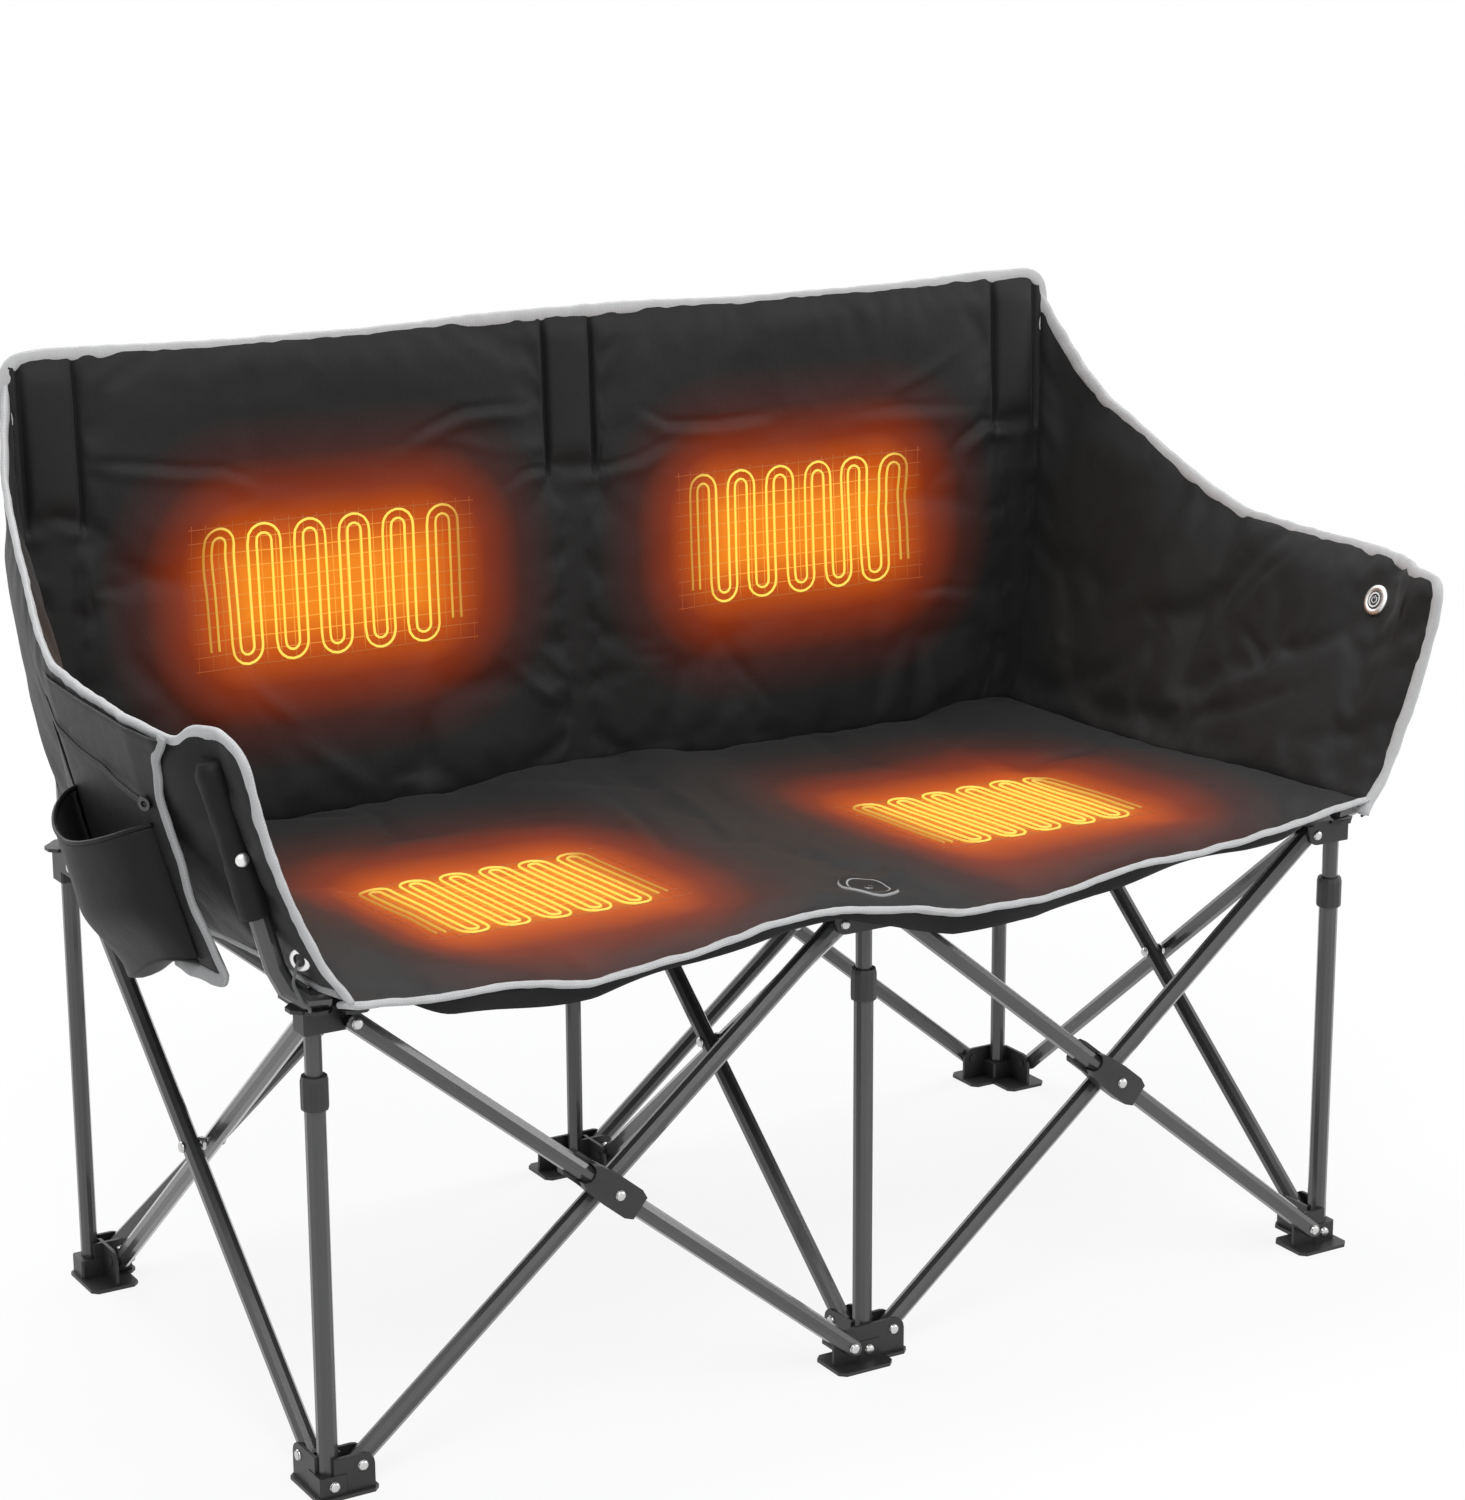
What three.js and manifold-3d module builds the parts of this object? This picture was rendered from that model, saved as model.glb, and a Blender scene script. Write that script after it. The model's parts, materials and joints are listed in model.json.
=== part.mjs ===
// Folding camping loveseat with heated seats. Millimetres, +Z up, the front faces -Y and the left side is -X.
// Six legs stand in two rows of three. Crossed bars join them on every side, and the frame closes
// into a bundle.
// Moulded feet carry the lower ends of the bars and moulded hubs the upper ends. The front hubs ride on inner
// tubes that slide in the front legs, and the rear hubs slide on the uprights that hold the back.

import * as THREE from 'three';
import { mergeVertices } from 'three/addons/utils/BufferGeometryUtils.js';
import Module from 'manifold-3d';

const wasm = await Module();
wasm.setup();

// Frame layout
const legSpacing = 556;
const legDepth = 570;
const footPivotHeight = 26;
const hubPivotHeight = 439;
const pivotOffset = 28;
const barPlaneOffset = 22;
const depthPivotOffset = 35;

// Tubes
const legTubeRadius = 9.5;
const innerTubeRadius = 7.9;
const uprightRadius = 8.5;
const barRadius = 9;
const postRadius = 9.5;
const tubeWall = 1.2;
const innerTubeBottom = 87;
const uprightCover = 10.3;

// Clearances and fasteners
const gap = 0.3;
const slideGap = 0.4;
const pinRadius = 3;
const pinBoreRadius = 3.8;
const rivetHeadRadius = 5;
const rivetHeadHeight = 1.6;
const rivetHeadSink = 0.2;
const spacerRadius = 6.5;
const overrun = 1;

// Collars on the front legs
const collarRadius = 12.4;
const collarLength = 30;
const collarLap = 13;
const collarLip = 4;
const collarRoom = 40;

// Moulded feet
const footBase = 3.5;
const footBlockHalf = 13.5;
const footBlockHeight = 22;
const footPadMargin = 4;
const footPadCut = 6;
const footBlockCut = 2;
const lugThickness = 3.4;
const lugRadius = 11.5;
const screwHeight = 12;

// Moulded hubs
const hubRoom = 0.8;
const hubPlateThickness = 3.5;
const hubBlockHalf = 12.7;
const hubBlockDrop = 10;
const hubBlockCut = 2;
const hubPlateReach = 40;
const hubPlateFront = 34;
const hubPlateNear = 22;
const hubPlateCut = 7;
const hubPadCut = 4;
const hubLugRadius = 10;
const rearGuideDrop = 22;

// Mid joint of the front bars
const midHalfWidth = 15;
const midSocketRadius = 11.5;
const midLowerReach = 26;
const midUpperReach = 34;
const midSaddleReach = 60;
const midSaddleHalfWidth = 12.5;
const midShoulder = 9;
const midSaddleCut = 3;
const midTubeOverlap = 12;

// Arm posts, each given from its leg: distance outwards and height above its own base
const postPlaneShift = 14;
const postInnerEnd = -9;
const postBendStart = 2;
const postBendCorner = 29;
const postBendOut = 40;
const postBendRise = 41;
const postTopOut = 87;
const postTopRise = 216;
const postSleeveRadius = 13.5;
const postSleeveStart = 86;
const postSleeveEnd = 224;

// Seat
const seatThickness = 12;
const seatOverhang = 56;
const seatRearInset = 17;
const seatSideInset = 8;
const seatValley = 23;
const seatBodySag = 9;
const seatLengthSag = 9;
const seatLie = 10;
const seatRampShare = 0.36;
const seatHem = 12;
const seatHemDepth = 5;
const seatHemTopShare = 0.33;

// Back, with its side edge as shares of its height and of its reach beyond the outer uprights
const backThickness = 12;
const backHeight = 479;
const backReach = 49;
const backSideShares = [
  [0, 0.1],
  [0.2, 0.39],
  [0.4, 0.67],
  [0.6, 0.86],
  [0.8, 0.98],
  [0.93, 1],
  [1, 0.55],
];
const backBottomInset = 24;
const backTopInset = 4;
const backPuff = 8;
const backDip = 5;
const sleeveHalfWidth = 26;
const sleeveHalfDepth = 13;
const sleeveLength = 155;
const sleeveTopDrop = 3;
const sleeveCut = 7;

// Arms, with their top edge as shares of the depth between the legs, of the arms' reach and of their rise
const armReach = 117;
const armRise = 473;
const armTopShares = [
  [-0.105, 0.684, 0.503],
  [-0.035, 0.769, 0.507],
  [0.061, 0.949, 0.514],
  [0.149, 1, 0.518],
  [0.325, 0.974, 0.52],
  [0.5, 0.94, 0.531],
  [0.588, 0.88, 0.569],
  [0.675, 0.778, 0.624],
  [0.763, 0.692, 0.683],
  [0.851, 0.598, 0.744],
  [0.904, 0.538, 0.801],
  [0.956, 0.427, 0.89],
  [1.009, 0.282, 1],
];
const armThickness = 12;
const armEdgeShare = 0.6;
const armSeatLap = 8;
const armBulge = 10;
const armFold = 2.5;
const armFoldCount = 5;
const armFrontOverhang = 60;
const armRearGap = 0.6;

// Organizer on the left arm, given from its front leg and from the hubs
const pouchSheet = 3;
const pouchFront = 4;
const pouchRear = 342;
const pouchBottom = 20;
const pouchTopShare = 0.5;
const pouchLeanShare = 0.22;
const pocketFront = 46;
const pocketRear = 304;
const pocketBottom = 26;
const pocketTop = 128;
const pocketBulge = 30;
const pocketFlareShare = 0.7;

// Heating pads, given from their place's middle
const padMiddleShare = 0.49;
const seatPadHalfWidth = 125;
const seatPadFront = 75;
const seatPadRear = 10;
const backPadHalfWidth = 146;
const backPadBottom = 160;
const backPadTop = 302;
const padProud = 1;
const padSunk = 0.6;

// Power button on the right arm, given from the front leg and from the hubs
const buttonSetback = 50;
const buttonRise = 198;
const buttonRadius = 9.5;
const buttonTravel = 1.5;
const buttonStop = 3.5;
const buttonDepth = 7;
const buttonProud = 2.4;
const buttonRimWidth = 2.4;
const buttonGroove = 0.8;
const buttonIconRadius = 4;
const buttonStepShare = 0.05;
const housingRadius = 12;
const housingFlangeRadius = 15.5;
const housingFlange = 1.8;

// Roundness of the facets, and how far a corner may lie off a flat face to be left out
const flatness = 0.02;
const tubeSides = 12;
const barSides = 10;
const boreSides = 6;
const pinSides = 8;
const buttonSides = 16;
const endSteps = 3;
const lugSteps = 2;
const postSteps = 12;
const padColumns = 6;
const padRows = 4;
const seatColumns = 22;
const seatFrontRows = 5;
const seatRearRows = 4;
const backColumns = 19;
const armColumns = 12;
const armRows = 6;
const settleSteps = 4;
const pouchColumns = 6;
const pouchRows = 4;
const pocketColumns = 10;
const pocketRows = 3;

// Worked out from the sizes above
const barRun = legSpacing - 2 * pivotOffset;
const depthRun = legDepth - 2 * depthPivotOffset;
const barRise = hubPivotHeight - footPivotHeight;
const barLength = Math.hypot(barRun, barRise);
const depthBarLength = Math.hypot(depthRun, barRise);
const frontY = -legDepth / 2;
const rearY = legDepth / 2;
const lugNear = barPlaneOffset - barRadius - gap - lugThickness;
const plateBottom = barRadius + hubRoom;
const plateTop = plateBottom + hubPlateThickness;
const hubTop = hubPivotHeight + plateTop;
const collarTop = hubPivotHeight - hubBlockDrop - collarRoom;
const collarBottom = collarTop - collarLength;
const legTubeTop = collarBottom + collarLap;
const sleeveTop = hubTop + backHeight - sleeveTopDrop;
const uprightTop = sleeveTop - uprightCover;
const spacerEdge = barRadius + gap;
const betweenBars = barPlaneOffset - 2 * spacerEdge;
const frontReach = frontY - armFrontOverhang;
const rearReach = rearY + hubPlateFront;
const originShift = -(frontReach + rearReach) / 2;

const colors = { tube: 0x3b3b3c, moulding: 0x161617, fabric: 0x1c1c1e, steel: 0xc9cbcd, glow: 0xe06a12 };
const looks = {
  tube: { color: colors.tube, roughness: 0.45, metalness: 0.5 },
  moulding: { color: colors.moulding, roughness: 0.5, metalness: 0 },
  fabric: { color: colors.fabric, roughness: 0.8, metalness: 0 },
  steel: { color: colors.steel, roughness: 0.25, metalness: 1 },
  glow: { color: colors.glow, roughness: 0.6, metalness: 0 },
};

const model = new THREE.Group();

// Solids

function solidOf(geometry) {
  const bare = geometry.clone();
  bare.deleteAttribute('normal');
  bare.deleteAttribute('uv');
  const merged = mergeVertices(bare);
  return new wasm.Manifold(new wasm.Mesh({
    numProp: 3,
    vertProperties: new Float32Array(merged.attributes.position.array),
    triVerts: new Uint32Array(merged.index.array),
  }));
}

function geometryOf(solid) {
  const mesh = solid.asOriginal().simplify(flatness).getMesh();
  const geometry = new THREE.BufferGeometry();
  geometry.setAttribute('position', new THREE.BufferAttribute(new Float32Array(mesh.vertProperties), 3));
  geometry.setIndex(new THREE.BufferAttribute(new Uint32Array(mesh.triVerts), 1));
  geometry.computeVertexNormals();
  return geometry;
}

function join(solids) {
  return solids.reduce((whole, next) => whole.add(next));
}

// A cylinder along X, Y or Z between two places on that axis.
function rod(axis, radius, from, to, sides, centre = [0, 0, 0]) {
  const geometry = new THREE.CylinderGeometry(radius, radius, to - from, sides);
  geometry.rotateY(Math.PI / sides);
  geometry.translate(0, (from + to) / 2, 0);
  if (axis === 'x') geometry.rotateZ(-Math.PI / 2);
  if (axis === 'z') geometry.rotateX(Math.PI / 2);
  geometry.translate(...centre);
  return solidOf(geometry);
}

// A ring about Z, from a closed profile of [radius, height] points.
function ring(profile, sides) {
  const points = [...profile, profile[0]].map(([radius, height]) => new THREE.Vector2(radius, height));
  const geometry = new THREE.LatheGeometry(points, sides);
  geometry.rotateY(Math.PI / sides);
  geometry.rotateX(Math.PI / 2);
  return geometry;
}

function tubeGeometry(outer, wall, bottom, top) {
  return ring([[outer - wall, bottom], [outer, bottom], [outer, top], [outer - wall, top]], tubeSides);
}

// A flat plate: its outline lies in the XY, XZ or YZ plane, and its thickness runs from one place to another.
function plate(plane, shape, from, to, steps = lugSteps) {
  const depth = to - from;
  const geometry = new THREE.ExtrudeGeometry(shape, { depth, bevelEnabled: false, curveSegments: steps });
  if (plane === 'xy') geometry.translate(0, 0, from);
  if (plane !== 'xy') geometry.rotateX(Math.PI / 2);
  if (plane === 'xz') geometry.translate(0, to, 0);
  if (plane === 'yz') geometry.rotateZ(Math.PI / 2).translate(from, 0, 0);
  return solidOf(geometry);
}

// A rectangle with its four corners cut off.
function cutRectangle(x0, x1, y0, y1, cut) {
  const shape = new THREE.Shape();
  shape.moveTo(x0 + cut, y0);
  shape.lineTo(x1 - cut, y0);
  shape.lineTo(x1, y0 + cut);
  shape.lineTo(x1, y1 - cut);
  shape.lineTo(x1 - cut, y1);
  shape.lineTo(x0 + cut, y1);
  shape.lineTo(x0, y1 - cut);
  shape.lineTo(x0, y0 + cut);
  shape.closePath();
  return shape;
}

// The outline of a lug that runs out from the leg to a pivot and is rounded about it.
// Sign gives the way it runs, and up says whether its round end is above or below its root.
function lugShape(sign, reach, pivotHeight, rootHeight, radius) {
  const up = Math.sign(pivotHeight - rootHeight);
  const shape = new THREE.Shape();
  shape.moveTo(0, rootHeight);
  shape.lineTo(sign * (reach + radius), rootHeight);
  shape.lineTo(sign * (reach + radius), pivotHeight);
  const start = sign > 0 ? 0 : Math.PI;
  shape.absarc(sign * reach, pivotHeight, radius, start, up * Math.PI / 2, sign * up < 0);
  shape.lineTo(0, pivotHeight + up * radius);
  shape.closePath();
  return shape;
}

// A headed pin along one axis. The heads lie outside the two given places.
function pin(axis, from, to, centre) {
  const inHead = rivetHeadHeight / 2;
  const shank = rod(axis, pinRadius, from - inHead, to + inHead, pinSides, centre);
  const headA = rod(axis, rivetHeadRadius, from - rivetHeadHeight, from, pinSides, centre);
  const headB = rod(axis, rivetHeadRadius, to, to + rivetHeadHeight, pinSides, centre);
  return join([shank, headA, headB]);
}

// Lugs and pins for the bars that meet at a foot or a hub. A bar is held in one of three ways:
// in a slot in line with the leg, against the outside of a lug in the bars' own outer plane, or beside
// the leg.
// Each holder is { along: 'x' | 'y', sign, place: 'slot' | 'outer', offsetSign }.
function holders(list, pivotHeight, rootHeight, radius) {
  const parts = [];
  for (const { along, sign, place, offsetSign = 1 } of list) {
    const reach = along === 'x' ? pivotOffset : depthPivotOffset;
    const plane = along === 'x' ? 'xz' : 'yz';
    const pinAxis = along === 'x' ? 'y' : 'x';
    const centre = along === 'x' ? [sign * reach, 0, pivotHeight] : [0, sign * reach, pivotHeight];
    const shape = lugShape(sign, reach, pivotHeight, rootHeight, radius);
    if (place === 'slot') {
      const near = barRadius + gap;
      const far = near + lugThickness;
      parts.push(plate(plane, shape, near, far));
      parts.push(plate(plane, shape, -far, -near));
      parts.push(pin(pinAxis, rivetHeadSink - far, far - rivetHeadSink, centre));
    } else {
      const lugEdges = [offsetSign * lugNear, offsetSign * (lugNear + lugThickness)].sort((a, b) => a - b);
      parts.push(plate(plane, shape, ...lugEdges));
      const pinNear = lugNear + rivetHeadSink;
      const pinFar = barPlaneOffset + spacerEdge;
      const pinEdges = [offsetSign * pinNear, offsetSign * pinFar].sort((a, b) => a - b);
      parts.push(pin(pinAxis, ...pinEdges, centre));
    }
  }
  return parts;
}

// The part of a foot's base that lies under one bar's end.
function footPad({ along, sign, place, offsetSign = 1 }) {
  const reach = (along === 'x' ? pivotOffset : depthPivotOffset) + lugRadius + footPadMargin;
  const slotHalf = barRadius + gap + lugThickness + footPadMargin;
  const outerEdge = barPlaneOffset + barRadius + footPadMargin / 2;
  const low = place === 'slot' || offsetSign > 0 ? -slotHalf : -outerEdge;
  const high = place === 'slot' || offsetSign < 0 ? slotHalf : outerEdge;
  const near = -sign * slotHalf;
  const [a, b] = [near, sign * reach].sort((p, q) => p - q);
  const shape = along === 'x'
    ? cutRectangle(a, b, low, high, footPadCut)
    : cutRectangle(low, high, a, b, footPadCut);
  return plate('xy', shape, 0, footBase);
}

// A moulded foot: base, leg socket, lugs with their pins, and the screw that holds the leg.
function foot(list, legRadius, outward) {
  const block = cutRectangle(-footBlockHalf, footBlockHalf, -footBlockHalf, footBlockHalf, footBlockCut);
  const faceY = outward * footBlockHalf;
  const screwEdges = [faceY - rivetHeadHeight, faceY + rivetHeadHeight];
  const screw = rod('y', rivetHeadRadius, ...screwEdges, pinSides, [0, 0, screwHeight]);
  const body = join([
    plate('xy', block, 0, footBlockHeight),
    ...list.map(footPad),
    ...holders(list, footPivotHeight, 0, lugRadius),
    screw,
  ]);
  const socket = rod('z', legRadius + gap, footBase, hubPivotHeight, tubeSides);
  return geometryOf(body.subtract(socket));
}

// A hub's top plate over one bar: a strip along the bar, with a wider end where the lugs stand beside the legs.
function hubPads({ along, sign, place, offsetSign }) {
  const pivot = along === 'x' ? pivotOffset : depthPivotOffset;
  const reach = along === 'x' ? hubPlateReach : pivot + hubLugRadius;
  const half = barRadius + gap + lugThickness;
  const strip = (from, low, high, cut) => {
    const [a, b] = [sign * from, sign * reach].sort((p, q) => p - q);
    const shape = along === 'x' ? cutRectangle(a, b, low, high, cut) : cutRectangle(low, high, a, b, cut);
    return plate('xy', shape, plateBottom, plateTop);
  };
  const pads = [strip(-hubPlateNear, -half, half, hubPlateCut)];
  if (place === 'outer') {
    const [low, high] = offsetSign > 0 ? [-half, hubPlateFront] : [-hubPlateFront, half];
    pads.push(strip(pivot - hubLugRadius, low, high, hubPadCut));
  }
  return pads;
}

// A moulded hub: top plate, tube socket and hanging lugs with their pins. Heights are from the bars' pivots.
function hub(list, tubeRadius, socketDrop, socketGap, open) {
  const block = cutRectangle(-hubBlockHalf, hubBlockHalf, -hubBlockHalf, hubBlockHalf, hubBlockCut);
  const body = join([
    plate('xy', block, -socketDrop, plateTop),
    ...list.flatMap(hubPads),
    ...holders(list, 0, plateBottom, hubLugRadius),
  ]);
  const socketTop = open ? plateTop + overrun : plateTop - hubPlateThickness;
  const socket = rod('z', tubeRadius + socketGap, -socketDrop - overrun, socketTop, tubeSides);
  return geometryOf(body.subtract(socket));
}

// A bar along Z, measured from its foot pivot, with pins along Y. Its pivoted ends are rounded about the pin.
function barSolid({ from, to, bores, roundFrom = true, roundTo = true, wall = tubeWall }) {
  const low = roundFrom ? from - barRadius : from;
  const high = roundTo ? to + barRadius : to;
  const shape = new THREE.Shape();
  shape.moveTo(-barRadius, roundFrom ? from : low);
  if (roundFrom) shape.absarc(0, from, barRadius, Math.PI, 2 * Math.PI, false);
  else shape.lineTo(barRadius, low);
  shape.lineTo(barRadius, roundTo ? to : high);
  if (roundTo) shape.absarc(0, to, barRadius, 0, Math.PI, false);
  else shape.lineTo(-barRadius, high);
  shape.closePath();
  const side = barRadius + overrun;
  let bar = rod('z', barRadius, low, high, barSides).intersect(plate('xz', shape, -side, side, endSteps));
  bar = bar.subtract(rod('z', barRadius - wall, low - overrun, high + overrun, barSides));
  for (const height of bores) {
    bar = bar.subtract(rod('y', pinBoreRadius, -side, side, boreSides, [0, 0, height]));
  }
  return bar;
}

// Placing

function put(name, geometry, look, position = [0, 0, 0], rotation = [0, 0, 0]) {
  const mesh = new THREE.Mesh(geometry, new THREE.MeshStandardMaterial(looks[look]));
  mesh.name = name;
  mesh.position.set(position[0], position[1] + originShift, position[2]);
  mesh.rotation.set(...rotation);
  model.add(mesh);
  return mesh;
}

// A bar in a plane along X: from a foot's pivot to a hub's pivot.
function putAcross(name, geometry, look, footX, hubX, y) {
  put(name, geometry, look, [footX, y, footPivotHeight], [0, Math.atan2(hubX - footX, barRise), 0]);
}

// A bar in a plane along Y, with its pins along X.
function putAlong(name, geometry, look, x, footY, hubY) {
  const lean = Math.atan2(hubY - footY, barRise);
  put(name, geometry, look, [x, footY, footPivotHeight], [-lean, 0, Math.PI / 2]);
}

// Legs, feet, hubs, inner tubes and uprights

const columns = [
  { side: 'left', x: -legSpacing },
  { side: 'middle', x: 0 },
  { side: 'right', x: legSpacing },
];
const slotRight = { along: 'x', sign: 1, place: 'slot' };
const slotLeft = { along: 'x', sign: -1, place: 'slot' };
const outerOf = (sign, offsetSign) => ({ along: 'x', sign, place: 'outer', offsetSign });
const slotInward = (inward) => ({ along: 'y', sign: inward, place: 'slot' });
const besideInward = (inward) => ({ along: 'y', sign: inward, place: 'outer', offsetSign: 1 });

// Lower ends: the bar that leaves a foot towards +X lies in the legs' plane, the one towards -X outside it.
const footHolders = {
  left: () => [slotRight],
  middle: (outward) => [slotRight, outerOf(-1, outward)],
  right: (outward) => [outerOf(-1, outward)],
};
// Upper ends: the bar that reaches a hub from -X lies in the legs' plane, the one from +X outside it.
const hubHolders = {
  left: (outward) => [outerOf(1, outward)],
  middle: (outward) => [slotLeft, outerOf(1, outward)],
  right: () => [slotLeft],
};

const legGeometry = tubeGeometry(legTubeRadius, tubeWall, footBase + gap, legTubeTop);
const innerTop = hubPivotHeight + plateTop - hubPlateThickness - gap;
const innerGeometry = tubeGeometry(innerTubeRadius, tubeWall, innerTubeBottom, innerTop);
const uprightGeometry = tubeGeometry(uprightRadius, tubeWall, footBase + gap, uprightTop);
const collarGeometry = ring([
  [legTubeRadius + gap, collarBottom],
  [collarRadius - gap, collarBottom],
  [collarRadius, collarBottom + collarLip / 2],
  [collarRadius, collarTop - collarLip],
  [collarRadius - collarLip / 4, collarTop],
  [innerTubeRadius + slideGap, collarTop],
  [innerTubeRadius + slideGap, legTubeTop + gap],
  [legTubeRadius + gap, legTubeTop + gap],
], tubeSides);

for (const { side, x } of columns) {
  const frontFoot = foot([...footHolders[side](-1), slotInward(1)], legTubeRadius, -1);
  put(`foot_front_${side}`, frontFoot, 'moulding', [x, frontY, 0]);
  const rearFoot = foot([...footHolders[side](1), besideInward(-1)], uprightRadius, 1);
  put(`foot_rear_${side}`, rearFoot, 'moulding', [x, rearY, 0]);

  put(`leg_front_${side}`, legGeometry, 'tube', [x, frontY, 0]);
  put(`collar_front_${side}`, collarGeometry, 'moulding', [x, frontY, 0]);
  put(`inner_tube_${side}`, innerGeometry, 'tube', [x, frontY, 0]);
  put(`upright_rear_${side}`, uprightGeometry, 'tube', [x, rearY, 0]);

  const frontHolders = [...hubHolders[side](-1), besideInward(1)];
  const frontHub = hub(frontHolders, innerTubeRadius, hubBlockDrop, gap, false);
  put(`hub_front_${side}`, frontHub, 'moulding', [x, frontY, hubPivotHeight]);
  const rearHolders = [...hubHolders[side](1), slotInward(-1)];
  const rearHub = hub(rearHolders, uprightRadius, rearGuideDrop, slideGap, true);
  put(`hub_rear_${side}`, rearHub, 'moulding', [x, rearY, hubPivotHeight]);
}

// Crossed bars

const borePlaces = (length) => [0, length / 2, length];
const plainBar = geometryOf(barSolid({ from: 0, to: barLength, bores: borePlaces(barLength) }));
const depthBar = geometryOf(barSolid({ from: 0, to: depthBarLength, bores: borePlaces(depthBarLength) }));

// Front: the outer bar is two tubes in a moulded mid joint, which carries the rivet through the inner bar.
const mid = barLength / 2;
const upperTubeEnd = mid + midUpperReach + barRadius;
const outerUpper = geometryOf(barSolid({ from: upperTubeEnd, to: barLength, bores: [barLength] }));
const outerLower = geometryOf(barSolid({ from: 0, to: mid - midTubeOverlap, bores: [0], roundTo: false }));

// The mid joint: a shouldered body with a socket for the lower tube, and an open saddle behind the
// upper tube.
function midJoint() {
  const backFace = barRadius + lugThickness / 2;
  const frontFace = -(barRadius + lugThickness / 2);
  const outline = new THREE.Shape();
  outline.moveTo(-midSocketRadius, mid - midLowerReach);
  outline.lineTo(midSocketRadius, mid - midLowerReach);
  outline.lineTo(midHalfWidth, mid - midLowerReach + midShoulder);
  outline.lineTo(midHalfWidth, mid + midShoulder);
  outline.lineTo(midSaddleHalfWidth, mid + midUpperReach);
  outline.absarc(0, mid + midUpperReach, midSaddleHalfWidth, 0, Math.PI, false);
  outline.lineTo(-midHalfWidth, mid + midShoulder);
  outline.lineTo(-midHalfWidth, mid - midLowerReach + midShoulder);
  outline.closePath();
  const saddle = cutRectangle(
    -midSaddleHalfWidth, midSaddleHalfWidth, mid, mid + midSaddleReach, midSaddleCut,
  );
  const body = join([
    plate('xz', outline, frontFace, backFace),
    plate('xz', saddle, 0, backFace),
  ]);
  const tubeBore = barRadius + gap;
  const upperRoom = new THREE.Shape();
  upperRoom.moveTo(tubeBore, mid + midSaddleReach + overrun);
  upperRoom.lineTo(-tubeBore, mid + midSaddleReach + overrun);
  upperRoom.lineTo(-tubeBore, upperTubeEnd);
  upperRoom.absarc(0, upperTubeEnd, tubeBore, Math.PI, 2 * Math.PI, false);
  upperRoom.closePath();
  const room = rod('z', tubeBore, mid, mid + midSaddleReach + overrun, barSides)
    .add(plate('xz', upperRoom, frontFace - overrun, 0, endSteps))
    .intersect(plate('xz', upperRoom, frontFace - overrun, tubeBore, endSteps));
  const lowerRoom = rod('z', tubeBore, mid - midLowerReach - overrun, mid - midTubeOverlap + gap, barSides);
  const innerBarFar = barPlaneOffset + barRadius + gap;
  const centre = [0, 0, mid];
  return join([
    body.subtract(room).subtract(lowerRoom),
    rod('y', spacerRadius, backFace - overrun, barPlaneOffset - spacerEdge, pinSides, centre),
    pin('y', frontFace, innerBarFar, centre),
  ]);
}

const midJointGeometry = geometryOf(midJoint());
const frontOuterY = frontY - barPlaneOffset;
const rearOuterY = rearY + barPlaneOffset;
const near = pivotOffset;
const far = legSpacing - pivotOffset;

for (const [side, sign] of [['left', -1], ['right', 1]]) {
  const footX = sign < 0 ? -near : far;
  const hubX = sign < 0 ? -far : near;
  putAcross(`bar_front_outer_upper_${side}`, outerUpper, 'tube', footX, hubX, frontOuterY);
  putAcross(`bar_front_outer_lower_${side}`, outerLower, 'tube', footX, hubX, frontOuterY);
  putAcross(`mid_joint_${side}`, midJointGeometry, 'moulding', footX, hubX, frontOuterY);
  const innerFootX = sign < 0 ? -far : near;
  const innerHubX = sign < 0 ? -near : far;
  putAcross(`bar_front_inner_${side}`, plainBar, 'tube', innerFootX, innerHubX, frontY);
}

// Rear: the outer bar carries the fixed rivet through the inner bar.
function rivetedBar() {
  const centre = [0, 0, mid];
  const innerFar = -(barPlaneOffset + barRadius + gap);
  return geometryOf(join([
    barSolid({ from: 0, to: barLength, bores: [0, barLength] }),
    rod('y', spacerRadius, -(barPlaneOffset - spacerEdge), -(barRadius - tubeWall), pinSides, centre),
    pin('y', innerFar, barRadius, centre),
  ]));
}

const rearOuterBar = rivetedBar();
for (const [side, sign] of [['left', -1], ['right', 1]]) {
  const footX = sign < 0 ? -near : far;
  const hubX = sign < 0 ? -far : near;
  putAcross(`bar_rear_outer_${side}`, rearOuterBar, 'tube', footX, hubX, rearOuterY);
  const innerFootX = sign < 0 ? -far : near;
  const innerHubX = sign < 0 ? -near : far;
  putAcross(`bar_rear_inner_${side}`, plainBar, 'tube', innerFootX, innerHubX, rearY);
}

// Sides and middle: one bar in the legs' plane, one beside it, and a loose rivet with a spacer between them.
const rivetGeometry = geometryOf(join([
  pin('x', -spacerEdge, barPlaneOffset + spacerEdge, [0, 0, 0]),
  rod('x', spacerRadius, spacerEdge, spacerEdge + betweenBars, pinSides),
]));
const crossingHeight = (footPivotHeight + hubPivotHeight) / 2;
for (const { side, x } of columns) {
  const frontPivot = frontY + depthPivotOffset;
  const rearPivot = rearY - depthPivotOffset;
  putAlong(`bar_depth_inner_${side}`, depthBar, 'tube', x, frontPivot, rearPivot);
  putAlong(`bar_depth_outer_${side}`, depthBar, 'tube', x + barPlaneOffset, rearPivot, frontPivot);
  put(`rivet_depth_${side}`, rivetGeometry, 'steel', [x, 0, crossingHeight]);
}

// Arm posts: a J of tube that lies on the front hub, bends up and leans outwards

const postY = frontY - postPlaneShift;
const postBaseHeight = hubTop + gap + postRadius;

function postPoint(sign, [out, rise]) {
  return new THREE.Vector3(sign * (legSpacing + out), postY, postBaseHeight + rise);
}

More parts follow.
